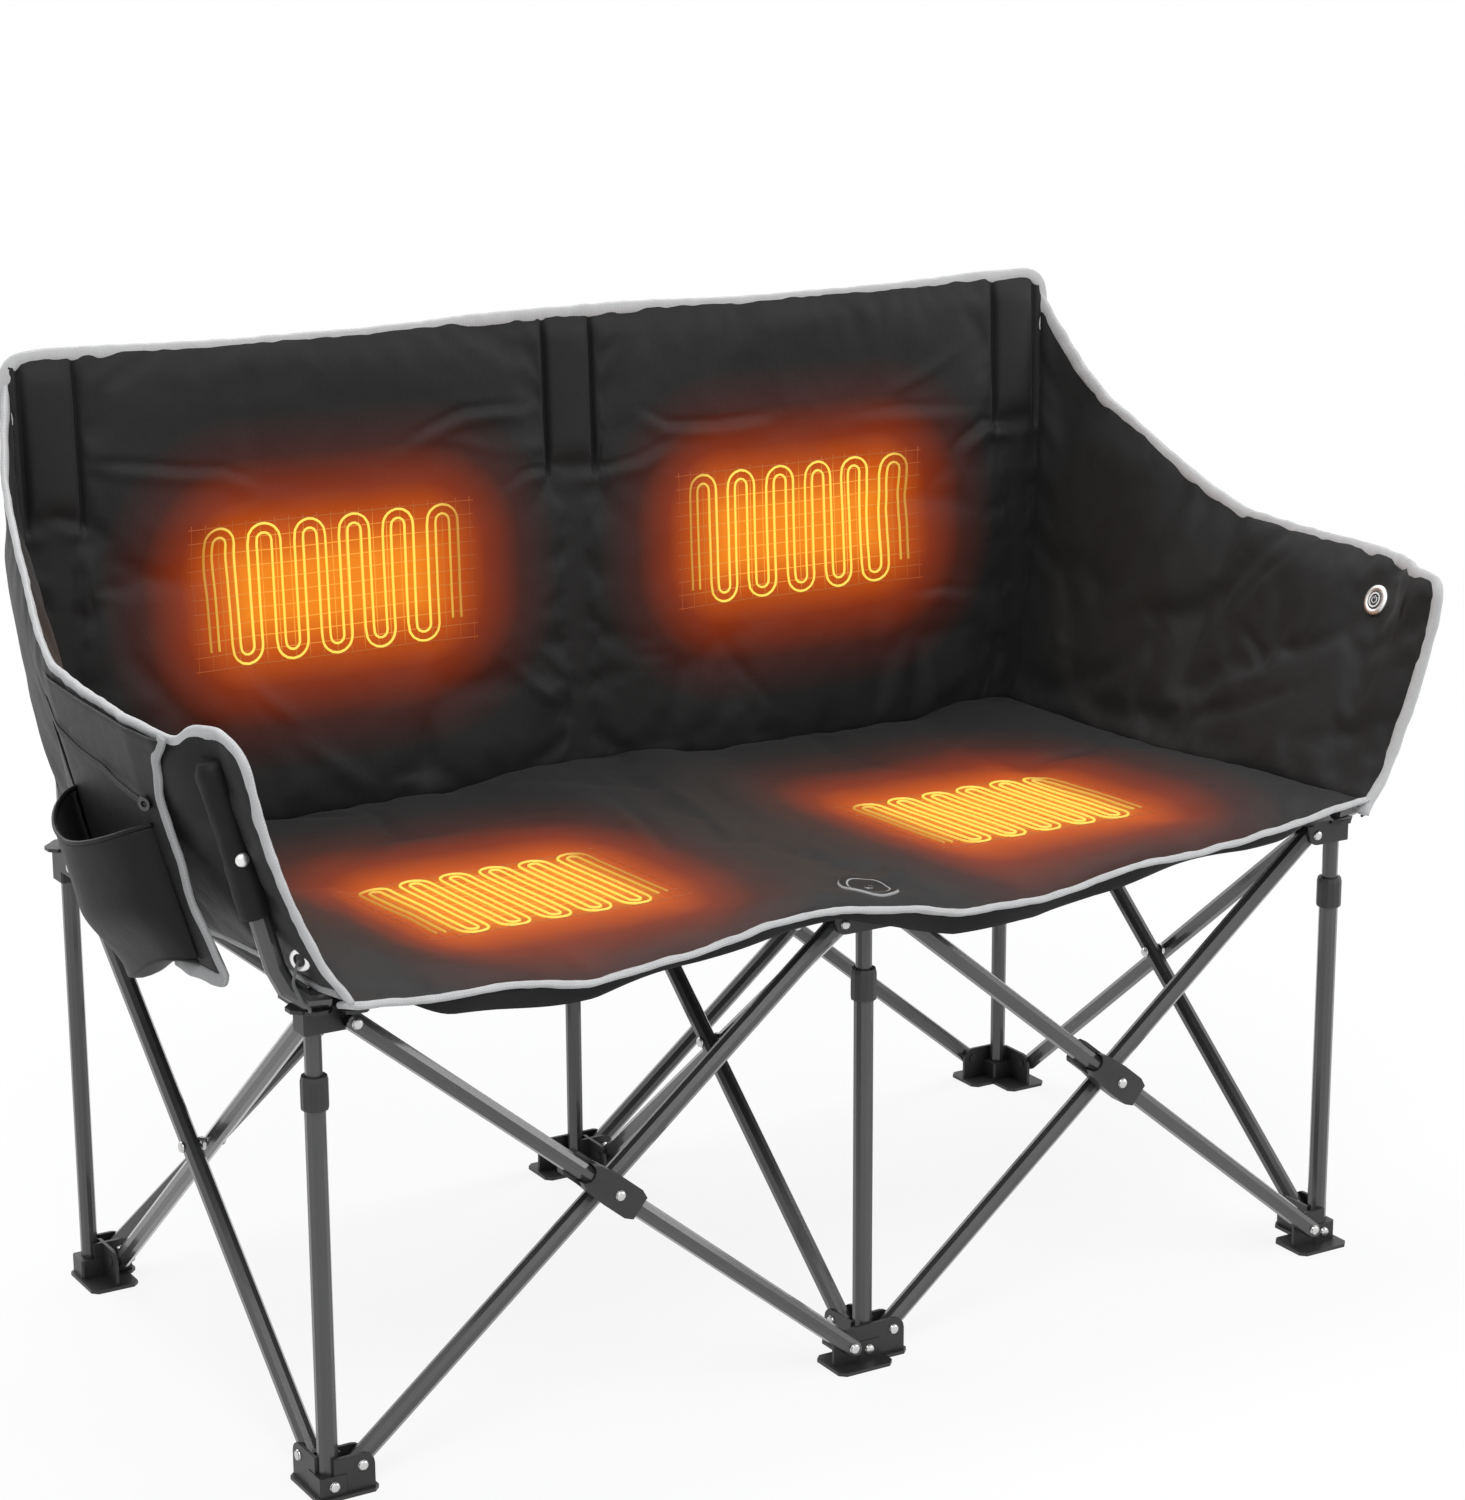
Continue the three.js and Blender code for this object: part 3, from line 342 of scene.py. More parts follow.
def binding_material(name, dark, light):
    """Folded ribbon: fine cross ribs, two rows of stitches, and random darker patches painted as the shade inside its
    puckers.
    """
    n = Nodes(name)
    uv = n.add("ShaderNodeUVMap", uv_map="UVMap").outputs[0]
    place = n.place()
    ribs = n.waves(uv, "X", 0.0016, 0.3)
    threads = n.waves(uv, "Y", 0.0012, 0.2)
    across = n.add("ShaderNodeSeparateXYZ", {"Vector": uv}).outputs[1]
    dash = n.math("GREATER_THAN", n.waves(uv, "X", 0.0034), 0.28)
    rows = 0.0
    for line in (0.0042, 0.0188):
        near = n.math("LESS_THAN", n.math("ABSOLUTE", n.math("SUBTRACT", across, line)), 0.00055)
        rows = n.math("MAXIMUM", near, rows)
    stitch = n.math("MULTIPLY", dash, rows)
    mottle = n.noise(place, 60.0, 3.0, 0.6)
    patches = n.noise(place, 9.0, 2.0, 0.5)
    # Random darker patches in the tone, painted as the shade inside the ribbon's puckers
    tone = n.weigh((mottle, 0.5), (patches, 0.3), (ribs, 0.2))
    colour = n.blend(tone, grey(dark), grey(light))
    colour = n.blend(n.math("MULTIPLY", stitch, 0.55), colour, grey(light * 1.25))
    height = n.weigh((ribs, 0.5), (threads, 0.25))
    normal = n.bump(height, 0.45, 0.0005)
    normal = n.bump(stitch, 0.5, 0.0005, normal)
    normal = n.bump(mottle, 0.35, 0.0022, normal)
    rough = n.weigh((mottle, 0.2), plus=0.5)
    return n.finish(Base_Color=colour, Roughness=rough, Normal=normal, Sheen_Weight=0.2, Sheen_Roughness=0.4,
                    Specular_IOR_Level=0.4)


def powder_coat(name, dark, light):
    """Dark grey powder coat with its fine orange peel, a few dust specks and faint rub marks."""
    n = Nodes(name)
    place = n.place()
    peel = n.noise(place, 900.0, 3.0, 0.6)
    cloudy = n.noise(place, 14.0, 3.0, 0.5)
    specks = n.math("GREATER_THAN", n.noise(place, 420.0, 1.0, 0.4), 0.735)
    long_marks = n.add("ShaderNodeMapping", {"Vector": place, "Scale": (150.0, 150.0, 9.0)}).outputs[0]
    rubs = n.math("GREATER_THAN", n.noise(long_marks, 1.0, 2.0, 0.5), 0.72)
    colour = n.blend(n.weigh((cloudy, 0.6), (peel, 0.4)), grey(dark), grey(light))
    colour = n.blend(n.math("MULTIPLY", specks, 0.25), colour, grey(light * 1.9))
    colour = n.blend(n.math("MULTIPLY", rubs, 0.18), colour, grey(light * 1.6))
    rough = n.weigh((cloudy, 0.12), (rubs, -0.08), plus=0.27)
    normal = n.bump(peel, 0.22, 0.00035)
    return n.finish(Base_Color=colour, Roughness=rough, Normal=normal, Metallic=0.25, Specular_IOR_Level=0.5,
                    Coat_Weight=0.8, Coat_Roughness=0.1)


def moulded(name, dark, light):
    """Moulded nylon: fine spark texture, flow clouds and lighter, rubbed spots."""
    n = Nodes(name)
    place = n.place()
    grain = n.noise(place, 1500.0, 2.0, 0.6)
    flow = n.noise(place, 38.0, 4.0, 0.6)
    edge = n.add("ShaderNodeNewGeometry").outputs["Pointiness"]
    worn = n.ramp(edge, [(0.52, (0, 0, 0)), (0.62, (1, 1, 1))])
    colour = n.blend(flow, grey(dark), grey(light))
    colour = n.blend(n.math("MULTIPLY", worn, n.math("MULTIPLY", flow, 0.5)), colour, grey(light * 2.2))
    rough = n.weigh((grain, 0.15), plus=0.36)
    normal = n.bump(grain, 0.25, 0.0003)
    return n.finish(Base_Color=colour, Roughness=rough, Normal=normal, Specular_IOR_Level=0.5)


def steel(name, tone=0.62, rough=0.22):
    """Plated steel with fine turning marks and small stains."""
    n = Nodes(name)
    place = n.place()
    fine = n.noise(place, 1200.0, 2.0, 0.6)
    stain = n.noise(place, 160.0, 4.0, 0.6)
    colour = n.blend(stain, grey(tone * 0.82, 0.01), grey(tone * 1.1, 0.005))
    roughness = n.weigh((stain, 0.18), plus=rough)
    normal = n.bump(fine, 0.15, 0.0002)
    return n.finish(Base_Color=colour, Roughness=roughness, Normal=normal, Metallic=1.0)


def wire_material(name, low, high):
    """A heating wire seen through the cloth, with a painted glow: dull at its ends, bright in the middle."""
    n = Nodes(name)
    place = n.place()
    level = n.stored("painted_glow")
    waver = n.weigh((n.noise(place, 90.0, 3.0, 0.6), 0.24), plus=0.88)
    glow = n.blend(n.math("MULTIPLY", level, waver, clamp=True), low, high)
    return n.finish(Base_Color=(0.12, 0.04, 0.01, 1.0), Roughness=0.6, Emission_Color=glow, Emission_Strength=1.0)


CLOTH = cloth_material("cloth_black", 0.0075, 0.0178, glow_paint=True, sheen=0.05)
CLOTH_PLAIN = cloth_material("cloth_black_plain", 0.0036, 0.0096, sheen=0.04)
CLOTH_UNDER = cloth_material("cloth_under", 0.003, 0.008, weave=0.0016, sheen=0.06)
MESH_CLOTH = cloth_material("mesh_cloth", 0.004, 0.03, weave=0.0032, sheen=0.1)
BINDING = binding_material("binding_silver", 0.3, 0.56)
# The silver binding again, painted darker as shade, for binding that lies out of the light
BINDING_DARK = binding_material("binding_shaded", 0.18, 0.37)
TUBE = powder_coat("powder_coat", 0.026, 0.05)
MOULDING = moulded("moulded_black", 0.008, 0.018)
STEEL = steel("plated_steel")
BRIGHT = steel("bright_ring", 0.86, 0.3)
DARK_METAL = steel("dark_puller", 0.1, 0.35)
# Wires and net that glow with painted light
WIRE = wire_material("wire_painted_glow", (0.32, 0.05, 0.003, 1.0), (1.0, 0.76, 0.1, 1.0))
GRID = wire_material("net_painted_glow", (0.24, 0.028, 0.001, 1.0), (0.95, 0.36, 0.03, 1.0))
ELASTIC = cloth_material("elastic_brown", 0.06, 0.13, weave=0.0009, sheen=0.3)
ELASTIC.node_tree.nodes["Principled BSDF"].inputs["Roughness"].default_value = 0.7


# Surfaces of the seat, back and arms, as the solids have them

FRONT_EDGE_Z = [
    (-548, 474), (-536, 471), (-472, 465), (-406, 461), (-310, 453), (-210, 461), (-106, 475), (-59, 478),
    (-25, 470), (0, 466), (67, 452), (157, 449), (226, 459), (320, 466), (405, 471), (475, 479), (548, 486),
]


def valley(x):
    """How far down a place across the seat lies: 0 over the hubs, 1 between them."""
    t = limit((abs(x) - 50) / 456)
    return smooth(t / 0.36) * smooth((1 - t) / 0.36)


def seat_plain(x, y):
    across = limit(abs(x) / SEAT_HALF)
    depth = limit((y - SEAT_FRONT) / (SEAT_REAR - SEAT_FRONT))
    lift = 19.6 * smooth((across - 0.7) / 0.3) * (1 - smooth(depth))
    hollow = math.sin(math.pi * limit((y + 230) / 460)) ** 2
    t = limit((abs(x) - 50) / 456)
    bowl = smooth(t / 0.26) * smooth((1 - t) / 0.26)
    return 464.6 + lift - 11 * bowl - 5 * hollow


def seat_top(x, y):
    near = 1 - smooth((y - SEAT_FRONT) / 130)
    return seat_plain(x, y) + near * (table(FRONT_EDGE_Z, x) - seat_plain(x, SEAT_FRONT))


ARM_TOP = [
    (-0.105, 0.684, 0.503), (-0.035, 0.769, 0.507), (0.061, 0.949, 0.514), (0.149, 1, 0.518),
    (0.325, 0.974, 0.52), (0.5, 0.94, 0.531), (0.588, 0.88, 0.569), (0.675, 0.778, 0.624),
    (0.763, 0.692, 0.683), (0.851, 0.598, 0.744), (0.904, 0.538, 0.801), (0.956, 0.427, 0.89),
    (1.009, 0.282, 1),
]


def arm_edge(y):
    share = (y - FRONT_Y) / LEG_DEPTH
    return LEG_X + 117 * table(ARM_TOP, share, 1), HUB_TOP + 473 * table(ARM_TOP, share, 2)


def arm_bottom(y):
    return seat_plain(SEAT_HALF, y) - 10


def arm_middle(y, v):
    ex, ez = arm_edge(y)
    fold = math.sin(5 * math.pi * limit((y + 345) / LEG_DEPTH)) * math.sin(math.pi * v)
    x = mix(554.3, ex, v) + 10 * math.sin(math.pi * v) + 2.5 * fold - 4.5 * (1 - smooth(v / 0.1))
    return x, mix(arm_bottom(y), ez, v)


def back_middle(x, z):
    t = limit((z - HUB_TOP) / 479)
    return REAR_Y - mix(24, 4, t) + 8 * valley(x) * math.sin(math.pi * t)


def arm_rear(v):
    y = REAR_Y
    for _ in range(5):
        y = back_middle(LEG_X, mix(arm_bottom(y), arm_edge(y)[1], v)) - 6.6
    return y


# Closed pads over a grid

def rounded(u, v, lu, lv, ends, radius):
    """Moves a grid place so that the top corners of a lu x lv panel are round at its ends 0 and 1, or at one."""
    a, b = u * lu, v * lv
    for end in ends:
        da, db = (lu - a if end else a), lv - b
        if da < radius and db < radius:
            d = np.array([radius - da, radius - db])
            length = np.linalg.norm(d)
            d = d * (max(d) / length)
            da, db = radius - d[0], radius - d[1]
            a, b = (lu - da if end else da), lv - db
    return a / lu, b / lv


def grid(nu, nv, place):
    return np.array([[place(i / nu, j / nv) for i in range(nu + 1)] for j in range(nv + 1)], float)


def rim_of(nu, nv):
    """Marks the sewn rim of a pad's grid."""
    hold = np.zeros((nv + 1, nu + 1), bool)
    hold[0] = hold[-1] = True
    hold[:, 0] = hold[:, -1] = True
    return hold


def grid_normals(points):
    du = np.gradient(points, axis=1)
    dv = np.gradient(points, axis=0)
    return unit(np.cross(du, dv))


def pad_faces(nu, nv):
    """Faces of a closed pad: its two grids and the band that joins their rims."""
    row, layer = nu + 1, (nu + 1) * (nv + 1)
    faces = []
    for j in range(nv):
        for i in range(nu):
            a = j * row + i
            faces.append((a, a + 1, a + row + 1, a + row))
            faces.append((layer + a, layer + a + row, layer + a + row + 1, layer + a + 1))
    for i in range(nu):
        last = nv * row + i
        faces.append((i + 1, i, layer + i, layer + i + 1))
        faces.append((last, last + 1, layer + last + 1, layer + last))
    for j in range(nv):
        a, b = j * row, j * row + nu
        faces.append((a, a + row, layer + a + row, layer + a))
        faces.append((b + row, b, layer + b, layer + b + row))
    return faces


def make_pad(name, front, rear, size):
    """A closed pad from its two faces' grids."""
    nv, nu = front.shape[0] - 1, front.shape[1] - 1
    faces = pad_faces(nu, nv)
    points = np.concatenate([front.reshape(-1, 3), rear.reshape(-1, 3)])
    layer = (nu + 1) * (nv + 1)
    uv = np.array([((k % layer) % (nu + 1) / nu * size[0] * MM, (k % layer) // (nu + 1) / nv * size[1] * MM)
                   for k in range(2 * layer)])
    return new_object(name, points, faces, True, uv[np.array(faces).ravel()])


def settle(obj, pinned, pressure, grow, cap):
    """Puffs a closed pad up with Cloth, with its seams held, and caps how far each point moves."""
    rest = vertex_rows(obj).astype(float)
    group = obj.vertex_groups.new(name="held")
    group.add([int(k) for k in np.nonzero(pinned)[0]], 1.0, "REPLACE")
    cloth = obj.modifiers.new("Cloth", "CLOTH")
    s = cloth.settings
    s.quality = 4
    s.mass = 0.25
    s.tension_stiffness = s.compression_stiffness = 18
    s.shear_stiffness = 6
    s.bending_stiffness = 0.35
    s.tension_damping = s.compression_damping = s.shear_damping = 8
    s.air_damping = 3
    s.use_pressure = True
    s.uniform_pressure_force = pressure
    s.vertex_group_mass = "held"
    s.shrink_min = -grow
    s.effector_weights.gravity = 0
    cloth.collision_settings.use_collision = False
    cloth.point_cache.frame_start, cloth.point_cache.frame_end = 1, CLOTH_FRAMES
    scene = bpy.context.scene
    for f in range(1, CLOTH_FRAMES + 1):
        scene.frame_set(f)
    dg = bpy.context.evaluated_depsgraph_get()
    move = vertex_rows(obj.evaluated_get(dg)) - rest
    obj.modifiers.clear()
    obj.vertex_groups.clear()
    scene.frame_set(1)
    length = np.linalg.norm(move, axis=1, keepdims=True)
    move *= cap * np.tanh(length / cap) / np.maximum(length, 1e-9)
    obj.data.vertices.foreach_set("co", (rest + move).astype(np.float32).ravel())
    obj.data.update()


def refine(obj):
    m = obj.modifiers.new("Subdivision", "SUBSURF")
    m.levels = m.render_levels = 1
    m.boundary_smooth = "PRESERVE_CORNERS"
    bake(obj)
    shade_smooth(obj)


def set_painted_glow(obj, pads, fade, facing, scale=(1, 1, 1)):
    """Stores the painted glow on the sitter's side: 1 in a pad's core, falling to 0 at a distance from it."""
    co = in_millimetres(obj)
    glow_paint = np.zeros(len(co))
    for centre, core in pads:
        away = np.maximum(np.abs(co - np.array(centre)) - np.array(core), 0) * np.array(scale)
        s = np.clip(1 - np.linalg.norm(away, axis=1) / fade, 0, 1)
        glow_paint = np.maximum(glow_paint, s ** 1.3)
    glow_paint *= np.clip(vertex_rows(obj, "normal") @ np.array(facing) * 4, 0, 1)
    store(obj, "painted_glow", glow_paint)


def dress(obj, node, material, nodes=(), joint=None):
    """Body, material and replaced nodes of a piece that goes with a node, and its own mesh when it has a joint."""
    paint(obj, material)
    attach(obj, node_body(node))
    if nodes:
        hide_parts(*nodes)
    if joint is not None:
        gather(obj)


def gather(obj):
    """Gives a piece its own copy of its mesh."""
    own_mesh(obj)


def sew(obj, node, material, nodes=()):
    """Dresses a sheet of cloth and gives it its own mesh."""
    dress(obj, node, material, nodes)
    gather(obj)


# Strips along an edge

def resample(path, step, *others):
    path = np.asarray(path, float)
    length = np.concatenate([[0], np.cumsum(np.linalg.norm(np.diff(path, axis=0), axis=1))])
    count = max(2, int(round(length[-1] / step)))
    s = np.linspace(0, length[-1], count + 1)
    result = [np.stack([np.interp(s, length, a[:, k]) for k in range(3)], axis=1)
              for a in [path, *[np.asarray(o, float) for o in others]]]
    return s, result


def smoothed(path, rounds=2):
    for _ in range(rounds):
        inner = 0.25 * path[:-2] + 0.5 * path[1:-1] + 0.25 * path[2:]
        path = np.concatenate([path[:1], inner, path[-1:]])
    return path


def ring_faces(rings, sides):
    """Faces between neighbouring rings of points."""
    return [(k * sides + m, k * sides + q, (k + 1) * sides + q, (k + 1) * sides + m)
            for k in range(rings - 1) for m, q in zip(range(sides), [*range(1, sides), 0])]


def capped(name, points, s, sides, around):
    """A tube from its rings of points, closed at both ends, with UVs along s and around."""
    faces, uvs = ring_faces(len(s), sides), []
    for k in range(len(s) - 1):
        for m in range(sides):
            v0, v1 = m / sides * around, (m + 1) / sides * around
            uvs += [(s[k] * MM, v0), (s[k] * MM, v1), (s[k + 1] * MM, v1), (s[k + 1] * MM, v0)]
    last = (len(s) - 1) * sides
    faces += [tuple(reversed(range(sides))), tuple(range(last, last + sides))]
    return new_object(name, points, faces, True, uvs + [(0.0, 0.0)] * 2 * sides)


def strip(name, path, inward, half_width, half_thick, shift, seed, pucker):
    """A closed, folded ribbon along a path, sewn over a pad's edge, with puckers along its length."""
    sides = 12
    s, (p, w) = resample(path, 4.0, inward)
    p, w = smoothed(p), unit(smoothed(w, 3))
    t = unit(np.gradient(p, axis=0))
    w = unit(w - (w * t).sum(1, keepdims=True) * t)
    n = unit(np.cross(t, w))
    points = []
    for k in range(len(s)):
        a = noise.noise(Vector((s[k] / 19.0, seed, 0.3)))
        b = noise.noise(Vector((s[k] / 27.0, seed + 7.1, 4.2)))
        c = noise.noise(Vector((s[k] / 11.0, seed + 3.3, 8.1)))
        centre = p[k] + w[k] * (shift + pucker * a) + n[k] * (pucker * 0.9 * b)
        thick = half_thick * (1 + 0.16 * c)
        for m in range(sides):
            angle = 2 * math.pi * m / sides
            x, y = math.cos(angle), math.sin(angle)
            x = math.copysign(abs(x) ** 0.55, x)
            y = math.copysign(abs(y) ** 0.8, y)
            ripple = 1 + 0.05 * noise.noise(Vector((s[k] / 8.0, seed, m * 0.9)))
            points.append(centre + w[k] * (x * half_width * ripple) + n[k] * (y * thick))
    return capped(name, points, s, sides, 2 * (half_width * 2 + half_thick) * MM)


def tube(name, path, radius, sides, step, seed=None, rounds=1):
    """A rod along a path; radius may be a function of the share of its length."""
    s, (p,) = resample(path, step)
    p = smoothed(p, rounds)
    t = unit(np.gradient(p, axis=0))
    reference = np.array([0.0, 0.0, 1.0]) if abs(t[0][2]) < 0.9 else np.array([0.0, 1.0, 0.0])
    a = unit(np.cross(t[0], reference))
    points = []
    for k in range(len(s)):
        a = unit(a - np.dot(a, t[k]) * t[k])
        b = np.cross(t[k], a)
        r = radius(s[k] / s[-1]) if callable(radius) else radius
        for m in range(sides):
            angle = 2 * math.pi * m / sides
            grow = 1.0
            if seed is not None:
                grow += 0.07 * noise.noise(Vector((s[k] / 14.0, seed, 1.3 * math.sin(angle))))
            points.append(p[k] + grow * r * (a * math.cos(angle) + b * math.sin(angle)))
    return capped(name, points, s, sides, (radius(0.5) if callable(radius) else radius) * 6.283 * MM)


def lathe(profile, centre, axis, sides):
    """Points and faces of a turned body from its (radius, height) pairs."""
    axis = unit(axis)
    ref = np.array([0.0, 0.0, 1.0]) if abs(axis[2]) < 0.9 else np.array([1.0, 0.0, 0.0])
    a = unit(np.cross(axis, ref))
    b = np.cross(axis, a)
    points = []
    for r, h in profile:
        for m in range(sides):
            angle = 2 * math.pi * m / sides
            points.append(np.asarray(centre, float) + axis * h + r * (a * math.cos(angle) + b * math.sin(angle)))
    return points, ring_faces(len(profile), sides)


def turned(name, bodies, sides=20):
    """One object from several turned bodies: (profile, centre, axis, "ring" or "open")."""
    points, faces = [], []
    for profile, centre, axis, closed in bodies:
        p, f = lathe(profile + ([profile[0]] if closed == "ring" else []), centre, axis, sides)
        offset = len(points)
        points += p
        faces += [tuple(offset + k for k in q) for q in f]
    obj = new_object(name, points, faces)
    bm = bmesh.new()
    bm.from_mesh(obj.data)
    bmesh.ops.remove_doubles(bm, verts=bm.verts, dist=1e-6)
    bmesh.ops.recalc_face_normals(bm, faces=bm.faces)
    for e in bm.edges:
        if len(e.link_faces) == 2 and e.calc_face_angle() > math.radians(50):
            e.smooth = False
    bm.to_mesh(obj.data)
    bm.free()
    return obj


# Creases that the photograph shows, as ridges and valleys: from, to, half-width and height

def crease_height(a, b, creases):
    total = 0.0
    for (a0, b0), (a1, b1), width, height in creases:
        dx, dy = a1 - a0, b1 - b0
        length = math.hypot(dx, dy)
        t = ((a - a0) * dx + (b - b0) * dy) / length ** 2
        off = ((a - a0) * dy - (b - b0) * dx) / length - 0.06 * length * math.sin(math.pi * limit(t))
        if -0.25 < t < 1.25:
            taper = math.exp(-((t - 0.45) / 0.42) ** 2)
            total += height * taper * math.exp(-(off / width) ** 2)
    return total


# Folds that the photograph shows: their line in its pixels, half-width, depth, and the roll of padding below

BACK_FOLDS = [
    ([(85, 462), (146, 465), (185, 469), (223, 468), (262, 483)], 3.8, -3.2, 3.0),
    ([(400, 445), (431, 425), (462, 410), (492, 406), (525, 405)], 3.8, -3.6, 4.0),
    ([(431, 438), (462, 442), (500, 452)], 4.6, 1.8, 0.0),
    ([(504, 489), (523, 472), (554, 465), (573, 469)], 3.1, -3.0, 2.2),
    ([(538, 462), (555, 468), (573, 463)], 3.1, 3.2, 0.0),
    ([(573, 468), (608, 465), (638, 458), (677, 433)], 3.8, -2.8, 2.6),
    ([(638, 406), (669, 423), (715, 422), (769, 414)], 3.8, -3.4, 3.4),
    ([(838, 415), (908, 406), (971, 406)], 4.6, -2.2, 2.6),
    ([(885, 395), (923, 375), (962, 346)], 6.2, 2.4, 0.0),
    ([(951, 449), (981, 420), (1000, 423), (1020, 425)], 3.8, -3.6, 5.0),
    ([(31, 491), (54, 515), (86, 528)], 3.8, -3.4, 3.0),
    ([(86, 525), (115, 591), (132, 660), (192, 722), (269, 771)], 12.3, -3.2, 0.0),
    ([(185, 629), (254, 691), (323, 752), (391, 808)], 10.8, 3.6, 0.0),
    ([(208, 645), (269, 714), (346, 760)], 7.7, -2.6, 0.0),
    ([(425, 714), (431, 791)], 6.9, -2.2, 0.0),
    ([(500, 654), (531, 682), (565, 708)], 6.9, 3.0, 0.0),
    ([(531, 645), (554, 675), (585, 691)], 6.9, -2.2, 0.0),
    ([(692, 620), (696, 645), (692, 691)], 6.9, 2.8, 0.0),
    ([(709, 618), (738, 664), (778, 710)], 6.2, -3.4, 0.0),
    ([(912, 592), (942, 586), (975, 591)], 3.8, -2.6, 2.8),
    ([(923, 622), (935, 691), (923, 737)], 7.7, 2.0, 0.0),
    ([(846, 746), (885, 726), (938, 722)], 5.4, -2.4, 0.0),
    ([(775, 758), (800, 735)], 3.8, -2.4, 0.0),
]
ARM_FOLDS = [
    ([(1052, 628), (1062, 645), (1074, 651)], 4.6, 3.0, 0.0),
    ([(1092, 729), (1117, 691), (1169, 606), (1200, 514)], 20.0, 4.2, 0.0),
    ([(1071, 737), (1077, 691), (1069, 645)], 7.7, -3.4, 0.0),
    ([(1112, 731), (1125, 708)], 6.9, -3.0, 0.0),
    ([(1229, 615), (1262, 575), (1302, 543)], 3.1, -2.4, 1.2),
    ([(1240, 622), (1257, 649), (1269, 671)], 6.2, -3.6, 0.0),
    ([(1185, 715), (1223, 688), (1269, 671), (1309, 615)], 6.9, 3.4, 0.0),
    ([(1283, 660), (1303, 637), (1315, 598)], 6.2, -2.6, 0.0),
    ([(1191, 752), (1223, 714), (1308, 682)], 6.9, -2.6, 0.0),
    ([(1215, 760), (1231, 729)], 5.4, 2.2, 0.0),
    ([(1271, 771), (1283, 737)], 5.4, 2.0, 0.0),
]
SEAT_FOLDS = [
    ([(314, 869), (351, 928), (385, 956)], 9.2, 2.6, 0.0),
    ([(569, 798), (615, 808), (663, 858)], 6.9, 2.8, 0.0),
    ([(592, 786), (646, 822), (677, 852)], 6.2, -2.6, 0.0),
    ([(660, 783), (708, 815), (748, 854)], 6.2, 3.0, 0.0),
    ([(689, 769), (728, 803), (772, 831)], 6.2, -2.4, 0.0),
    ([(751, 854), (814, 851), (855, 869)], 6.2, 2.6, 0.0),
    ([(817, 875), (840, 868), (869, 875)], 4.6, -2.2, 0.0),
    ([(912, 732), (954, 754), (1000, 728)], 5.4, 2.6, 0.0),
    ([(943, 729), (1000, 738), (1078, 738)], 4.6, -2.0, 0.0),
    ([(338, 946), (431, 966), (492, 962)], 7.7, 2.2, 0.0),
    ([(902, 880), (966, 892), (1028, 875)], 6.2, 2.2, 0.0),
    ([(415, 831), (492, 815), (562, 808)], 6.9, -1.8, 0.0),
    ([(477, 845), (554, 835), (600, 848)], 6.9, 1.6, 0.0),
]


def seen_at(points):
    """Where points in millimetres lie in the photograph."""
    away = metres(points) - np.array(CAM_AT)
    depth = away @ np.array(ahead)
    focal = LENS / SENSOR * PHOTO_HEIGHT
    return (PHOTO_WIDTH / 2 + focal * (away @ np.array(right)) / depth,
            PHOTO_HEIGHT / 2 - focal * (away @ np.array(raised)) / depth)


def fold_heights(points, folds):
    u, v = seen_at(points)
    total = np.zeros(len(points))
    for line, width, height, roll in folds:
        line = np.array(line, float)
        lengths = np.linalg.norm(np.diff(line, axis=0), axis=1)
        starts = np.concatenate([[0], np.cumsum(lengths)])
        best = np.full(len(points), 1e9)
        side, place = np.zeros(len(points)), np.zeros(len(points))
        for k, length in enumerate(lengths):
            du, dv = (line[k + 1] - line[k]) / length
            along = np.clip((u - line[k, 0]) * du + (v - line[k, 1]) * dv, 0, length)
            away = np.hypot(u - line[k, 0] - along * du, v - line[k, 1] - along * dv)
            below = (v - line[k, 1]) * du - (u - line[k, 0]) * dv
            near = away < best
            best[near] = away[near]
            side[near] = np.copysign(away, below)[near]
            place[near] = ((starts[k] + along) / starts[-1])[near]
        ends = np.sin(np.pi * np.clip(place, 0.03, 0.97)) ** 0.7
        total += ends * height * np.exp(-(best / width) ** 2)
        total += ends * roll * np.exp(-((side - 2.6 * width) / (2.0 * width)) ** 2) * (side > -width)
    return total


def rumple(obj, direction, folds, mask, fine, seed):
    """Presses folds and small creases into a finished pad, both faces alike."""
    co = in_millimetres(obj)
    height = fold_heights(co, folds)
    for k, (x, y, z) in enumerate(co):
        coarse = 1 - abs(wobble(x, y, z, 95.0, seed)) * 2.4
        small = 1 - abs(wobble(x, y, z, 38.0, seed + 5)) * 2.4
        height[k] += fine * (coarse + 0.4 * small)
    co += (height * mask(*co.T))[:, None] * np.array(direction)
    obj.data.vertices.foreach_set("co", ((co + SHIFT) * MM).astype(np.float32).ravel())
    obj.data.update()
    return co


def soft_step(t):
    t = np.clip(t, 0, 1)
    return t * t * (3 - 2 * t)


# Seat

SEAT_U, SEAT_V = 116, 62
SEAT_CREASES = [
    ((-540, -250), (-330, -60), 16, 2.2), ((-520, 40), (-260, 160), 20, 2.0), ((-80, -250), (-20, 60), 22, -2.4),
    ((30, -200), (110, 120), 18, 2.0), ((480, -280), (380, -120), 15, 2.4), ((520, -100), (350, 60), 18, 2.2),
    ((-40, 120), (-180, 230), 16, 2.0), ((60, 150), (240, 240), 17, 1.8), ((0, -290), (-120, -170), 12, 2.2),
    ((0, -290), (120, -180), 12, 2.2), ((0, -270), (10, -120), 14, -2.0), ((-300, 200), (-420, 250), 14, 2.0),
]


